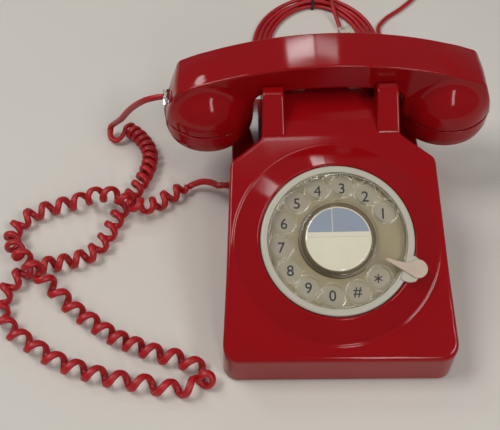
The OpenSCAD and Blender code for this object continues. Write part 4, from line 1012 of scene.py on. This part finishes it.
def wheelField(x, y, z):
    part, edge, top, radius = wheel, wheel["edge"], dial["wheelTop"], np.hypot(x, y)
    bottom = top - dial["wheelThickness"]
    disc = roundMax(radius - dial["wheelRadius"], z - top, edge)
    form = roundMax(disc, bottom - z, edge)
    outer, collarTop = part["collar"]
    hubAway = np.hypot(x - dial["hubShift"][0], y - dial["hubShift"][1])
    collar = roundMax(hubAway - outer, z - collarTop + part["collarDrop"], edge)
    form = blendMin(form, collar, part["collarJoin"])
    lipRadius, lipTop = part["lip"]
    lips, holes, ribs = 1.0, 1.0, 1.0
    for place in holePlaces():
        away = np.hypot(x - place.x * dial["holeCircle"], y - place.y * dial["holeCircle"])
        lips, holes = np.minimum(lips, away - lipRadius), np.minimum(holes, away)
    form = blendMin(form, roundMax(lips, z - lipTop, edge), part["lipJoin"])
    half, ribTop = part["rib"]
    for start, end in ribEnds():
        run = end - start
        share = np.clip(((x - start.x) * run.x + (y - start.y) * run.y) / run.length_squared, 0, 1)
        away = np.hypot(x - start.x - share * run.x, y - start.y - share * run.y)
        ribs = np.minimum(ribs, away - half)
    form = blendMin(form, roundMax(ribs, z - ribTop, half / 2), part["ribJoin"])
    hole = hubAway - dial["hubRadius"] - part["hubGap"]
    form = np.maximum(form, -np.maximum(hole, top - part["recess"] - z))
    form = roundMax(form, dial["holeRadius"] - holes, edge)
    return np.maximum(form, bottom - part["trim"] - z)


def addWheel(look):
    across = np.arange(*wheel["across"])
    up = np.concatenate([np.arange(*span) for span in wheel["up"]])
    piece = fieldPiece("clear_wheel", wheelField, (across, across, up), dialFrame)
    finish(piece, "dial_rotor", look, ["finger_wheel"])


# The finger stop: a slim arm that ends in a round pad, lying over the wheel.
fingerStop = {
    "low": 0.0117, "high": 0.0134, "edge": 0.0005,
    "pad": (0.0501, -0.0207), "padRadius": 0.0061, "padTurn": (104, -120), "padSteps": 30,
    # the arm's upper side towards the pad, where the first point only gives a direction
    "arm": [(0.0296, -0.0156), (0.0299, -0.0136, 0.0007), (0.0313, -0.0132, 0.0007),
            (0.0368, -0.0152, 0.020), (0.0425, -0.0166, 0.010), (0.0462, -0.0160, 0.006),
            (0.0480, -0.0150)],
    "underside": [(0.0420, -0.0224), (0.0363, -0.0188), (0.0305, -0.0151)],
}


def addFingerStop(look):
    part, steps = fingerStop, fingerStop["padSteps"]
    first, last = part["padTurn"]
    turns = [math.radians(first + (last - first) * k / steps) for k in range(steps + 1)]
    pad = [Vector(part["pad"]) + part["padRadius"] * Vector((math.cos(t), math.sin(t)))
           for t in turns]
    outline = roundedLine(part["arm"], steps=6)[1:] + pad + part["underside"]
    stop = extruded("finger_stop_arm", outline, part["low"], part["high"], dialFrame)
    roundEdges(stop, part["edge"], 4, 45)
    finish(polish(stop, 50), "base", look, ["finger_stop"])


def addDial():
    for name, row in rounds.items():
        addRound(name, *row)
    addFigures(looks["figures"])
    addStopBlock(looks["cream"])
    addWheel(looks["clear"])
    addFingerStop(looks["stop"])
    print("dial made")


# The caps screwed onto the handset's cups, dished below, with rings of small holes.
caps = {
    "kinds": ((1, "ear", 2), (-1, "mouth", 3)),  # side, name and rings of holes
    "dish": 0.62, "rim": 0.78, "dishDepth": 0.0010, "hang": 0.0014, "bulge": 0.0003,
    "bulgeAt": 0.4, "wall": 0.003, "floor": 0.0042, "seamGaps": (0.0003, 0.0002),
    "rounding": (0.004, 0.003, 0.004, 0.010, 0.0004),
    "holeRadius": 0.0009, "holeReach": (-0.001, 0.006), "holeSpacing": 0.0052,
}


def addCaps(look):
    part, radius, high = caps, handset["capRadius"], handset["capHeight"]
    dish, rim, edge, bulge, seam = part["rounding"]
    outerGap, innerGap = part["seamGaps"]
    inside = radius - part["wall"]
    outline = roundedLine([
        (0, part["dishDepth"]), (radius * part["dish"], part["dishDepth"], dish),
        (radius * part["rim"], -part["hang"], rim), (radius - part["hang"], -part["hang"], edge),
        (radius + part["bulge"], high * part["bulgeAt"], bulge), (radius, high - outerGap, seam),
        (inside, high - innerGap), (inside, part["floor"]), (0, part["floor"])], True, 5)
    for side, name, rings in part["kinds"]:
        place = Matrix.Translation((side * handset["capX"], handset["y"], handset["seam"] - high))
        cap = spun(name + "_cap_shell", outline, place, 128)
        cuts = []
        for ring in range(rings):
            holes = max(1, 6 * ring)
            for k in range(holes):
                turn = 2 * math.pi * k / holes
                at = Vector((math.cos(turn), math.sin(turn), 0)) * part["holeSpacing"] * ring
                cuts.append(cylinder("hole", part["holeRadius"], *part["holeReach"],
                                     place @ Matrix.Translation(at), 16))
        cutOut(cap, cuts)
        finish(polish(cap), "handset", look, [name + "_cap"])
    print("caps made")


# Sleeves where the cords go into the case, as outlines of radius, way outwards and rounding.
sleeves = {
    "cordPlace": (-0.070, 0.045, 0.022), "linePlace": (-0.035, 0.110, 0.012),
    "cordInside": [(0.0005, -0.0042), (0.0048, -0.0042, 0.0003), (0.0048, -0.0027),
                   (0.0035, -0.0026), (0.0035, 0.0001)],
    "cordCollar": [(0.0046, 0.0002), (0.0046, 0.0016, 0.0004), (0.0032, 0.0021)],
    "cordTip": [(0.0018, 0.0080), (0.0005, 0.0080)],
    # radius and start of each rib, then from there the groove's start and end, and its depth
    "ribs": [(0.0031, 0.0024), (0.0029, 0.0037), (0.0027, 0.0050), (0.0025, 0.0063)],
    "ribWidth": 0.0008, "ribEdge": 0.0002, "groove": (0.0009, 0.0013, 0.0005),
    "line": [(0.0005, -0.0042), (0.0050, -0.0042, 0.0003), (0.0050, -0.0027), (0.0039, -0.0026),
             (0.0039, 0.0001), (0.0054, 0.0001, 0.0002), (0.0054, 0.0018, 0.0005),
             (0.0036, 0.0024), (0.0026, 0.0088, 0.0005), (0.0005, 0.0090)],
}


def addSleeves():
    part, edge, ribs = sleeves, sleeves["ribEdge"], []
    start, end, depth = part["groove"]
    for wide, at in part["ribs"]:
        ribs += [(wide, at, edge), (wide, at + part["ribWidth"], edge),
                 (wide - depth, at + start), (wide - depth, at + end)]
    outline = part["cordInside"] + part["cordCollar"] + ribs + part["cordTip"]
    left, back = (Matrix.Rotation(-math.pi / 2, 4, axis) for axis in "YX")
    place = Matrix.Translation(part["cordPlace"]) @ left
    addRound("cord_sleeve", outline, 3, 64, place, "base", "cord", ["cord_grommet"], "cord")
    place = Matrix.Translation(part["linePlace"]) @ back
    addRound("line_sleeve", part["line"], 3, 64, place, "base", "black", ["line_gland"], "black")
    print("sleeves made")


# Each CAD piece that stays as it is gets a look by its material slot.
def dressTheRest(bySlot):
    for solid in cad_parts.values():
        for place in solid.material_slots:
            place.material = looks[bySlot[place.material.name.split(".")[0]]]


addCase(looks["red"])
addProngs(looks["red"])
addHandset(looks["red"])
addCaps(looks["red"])
addDial()
addCurlyCord(looks["cord"])
addLineCord(looks["cord"])
addSleeves()
dressTheRest({
    "shell": "red", "cord": "cord", "cream": "cream", "clear": "glassy", "label": "label",
    "steel": "steel", "stop": "stop", "brass": "brass", "gong": "gong", "black": "black",
    "foot": "foot", "base": "tray", "board": "board", "capacitor": "cream", "coil": "coil",
    "guide": "guide",
})
print("solids dressed")


# The floor, the lamps and the room's even light.
stage = {
    "floorHalf": 4.0, "floor": tone(214, 207, 196), "room": (0.84, 0.90, 1.0, 1), "roomLight": 0.18,
    "aim": (0, 0.02, 0.06),
    # each lamp's place, width and height in metres, and watts
    "lamps": [
        ((-0.033, 0.539, 0.524), 0.092, 0.028, 0.10), ((0.056, 0.539, 0.524), 0.072, 0.028, 0.028),
        ((-1.38, 1.28, 1.88), 0.42, 0.4, 5.0), ((1.08, -0.91, 1.69), 0.6, 0.6, 12.0),
        ((0.39, -1.70, 1.30), 0.25, 1.0, 6.5), ((-1.2, 0.10, 2.10), 1.0, 0.8, 21.0),
        ((0.0, 0.02, 2.5), 0.4, 0.3, 1.8),
    ],
}


def addStage():
    mesh = bmesh.new()
    bmesh.ops.create_grid(mesh, x_segments=8, y_segments=8, size=stage["floorHalf"])
    floor = pieceFrom("floor", mesh)
    floor.data.materials.append(surface("pale_floor", stage["floor"], 0.7, 0.02, 6, 0.05, 700))
    for place, width, height, watts in stage["lamps"]:
        data = bpy.data.lights.new("lamp", "AREA")
        data.shape, data.size, data.size_y, data.energy = "RECTANGLE", width, height, watts
        lamp = linked("lamp", data)
        lamp.location = place
        lamp.visible_camera = False
        toward = Vector(stage["aim"]) - Vector(place)
        lamp.rotation_euler = toward.to_track_quat("-Z", "Y").to_euler()
    world = bpy.data.worlds.new("room")
    world.use_nodes = True
    background = world.node_tree.nodes["Background"]
    background.inputs["Color"].default_value = stage["room"]
    background.inputs["Strength"].default_value = stage["roomLight"]
    bpy.context.scene.world = world
    bpy.context.scene.view_settings.view_transform = "Standard"


addStage()
print("stage set")
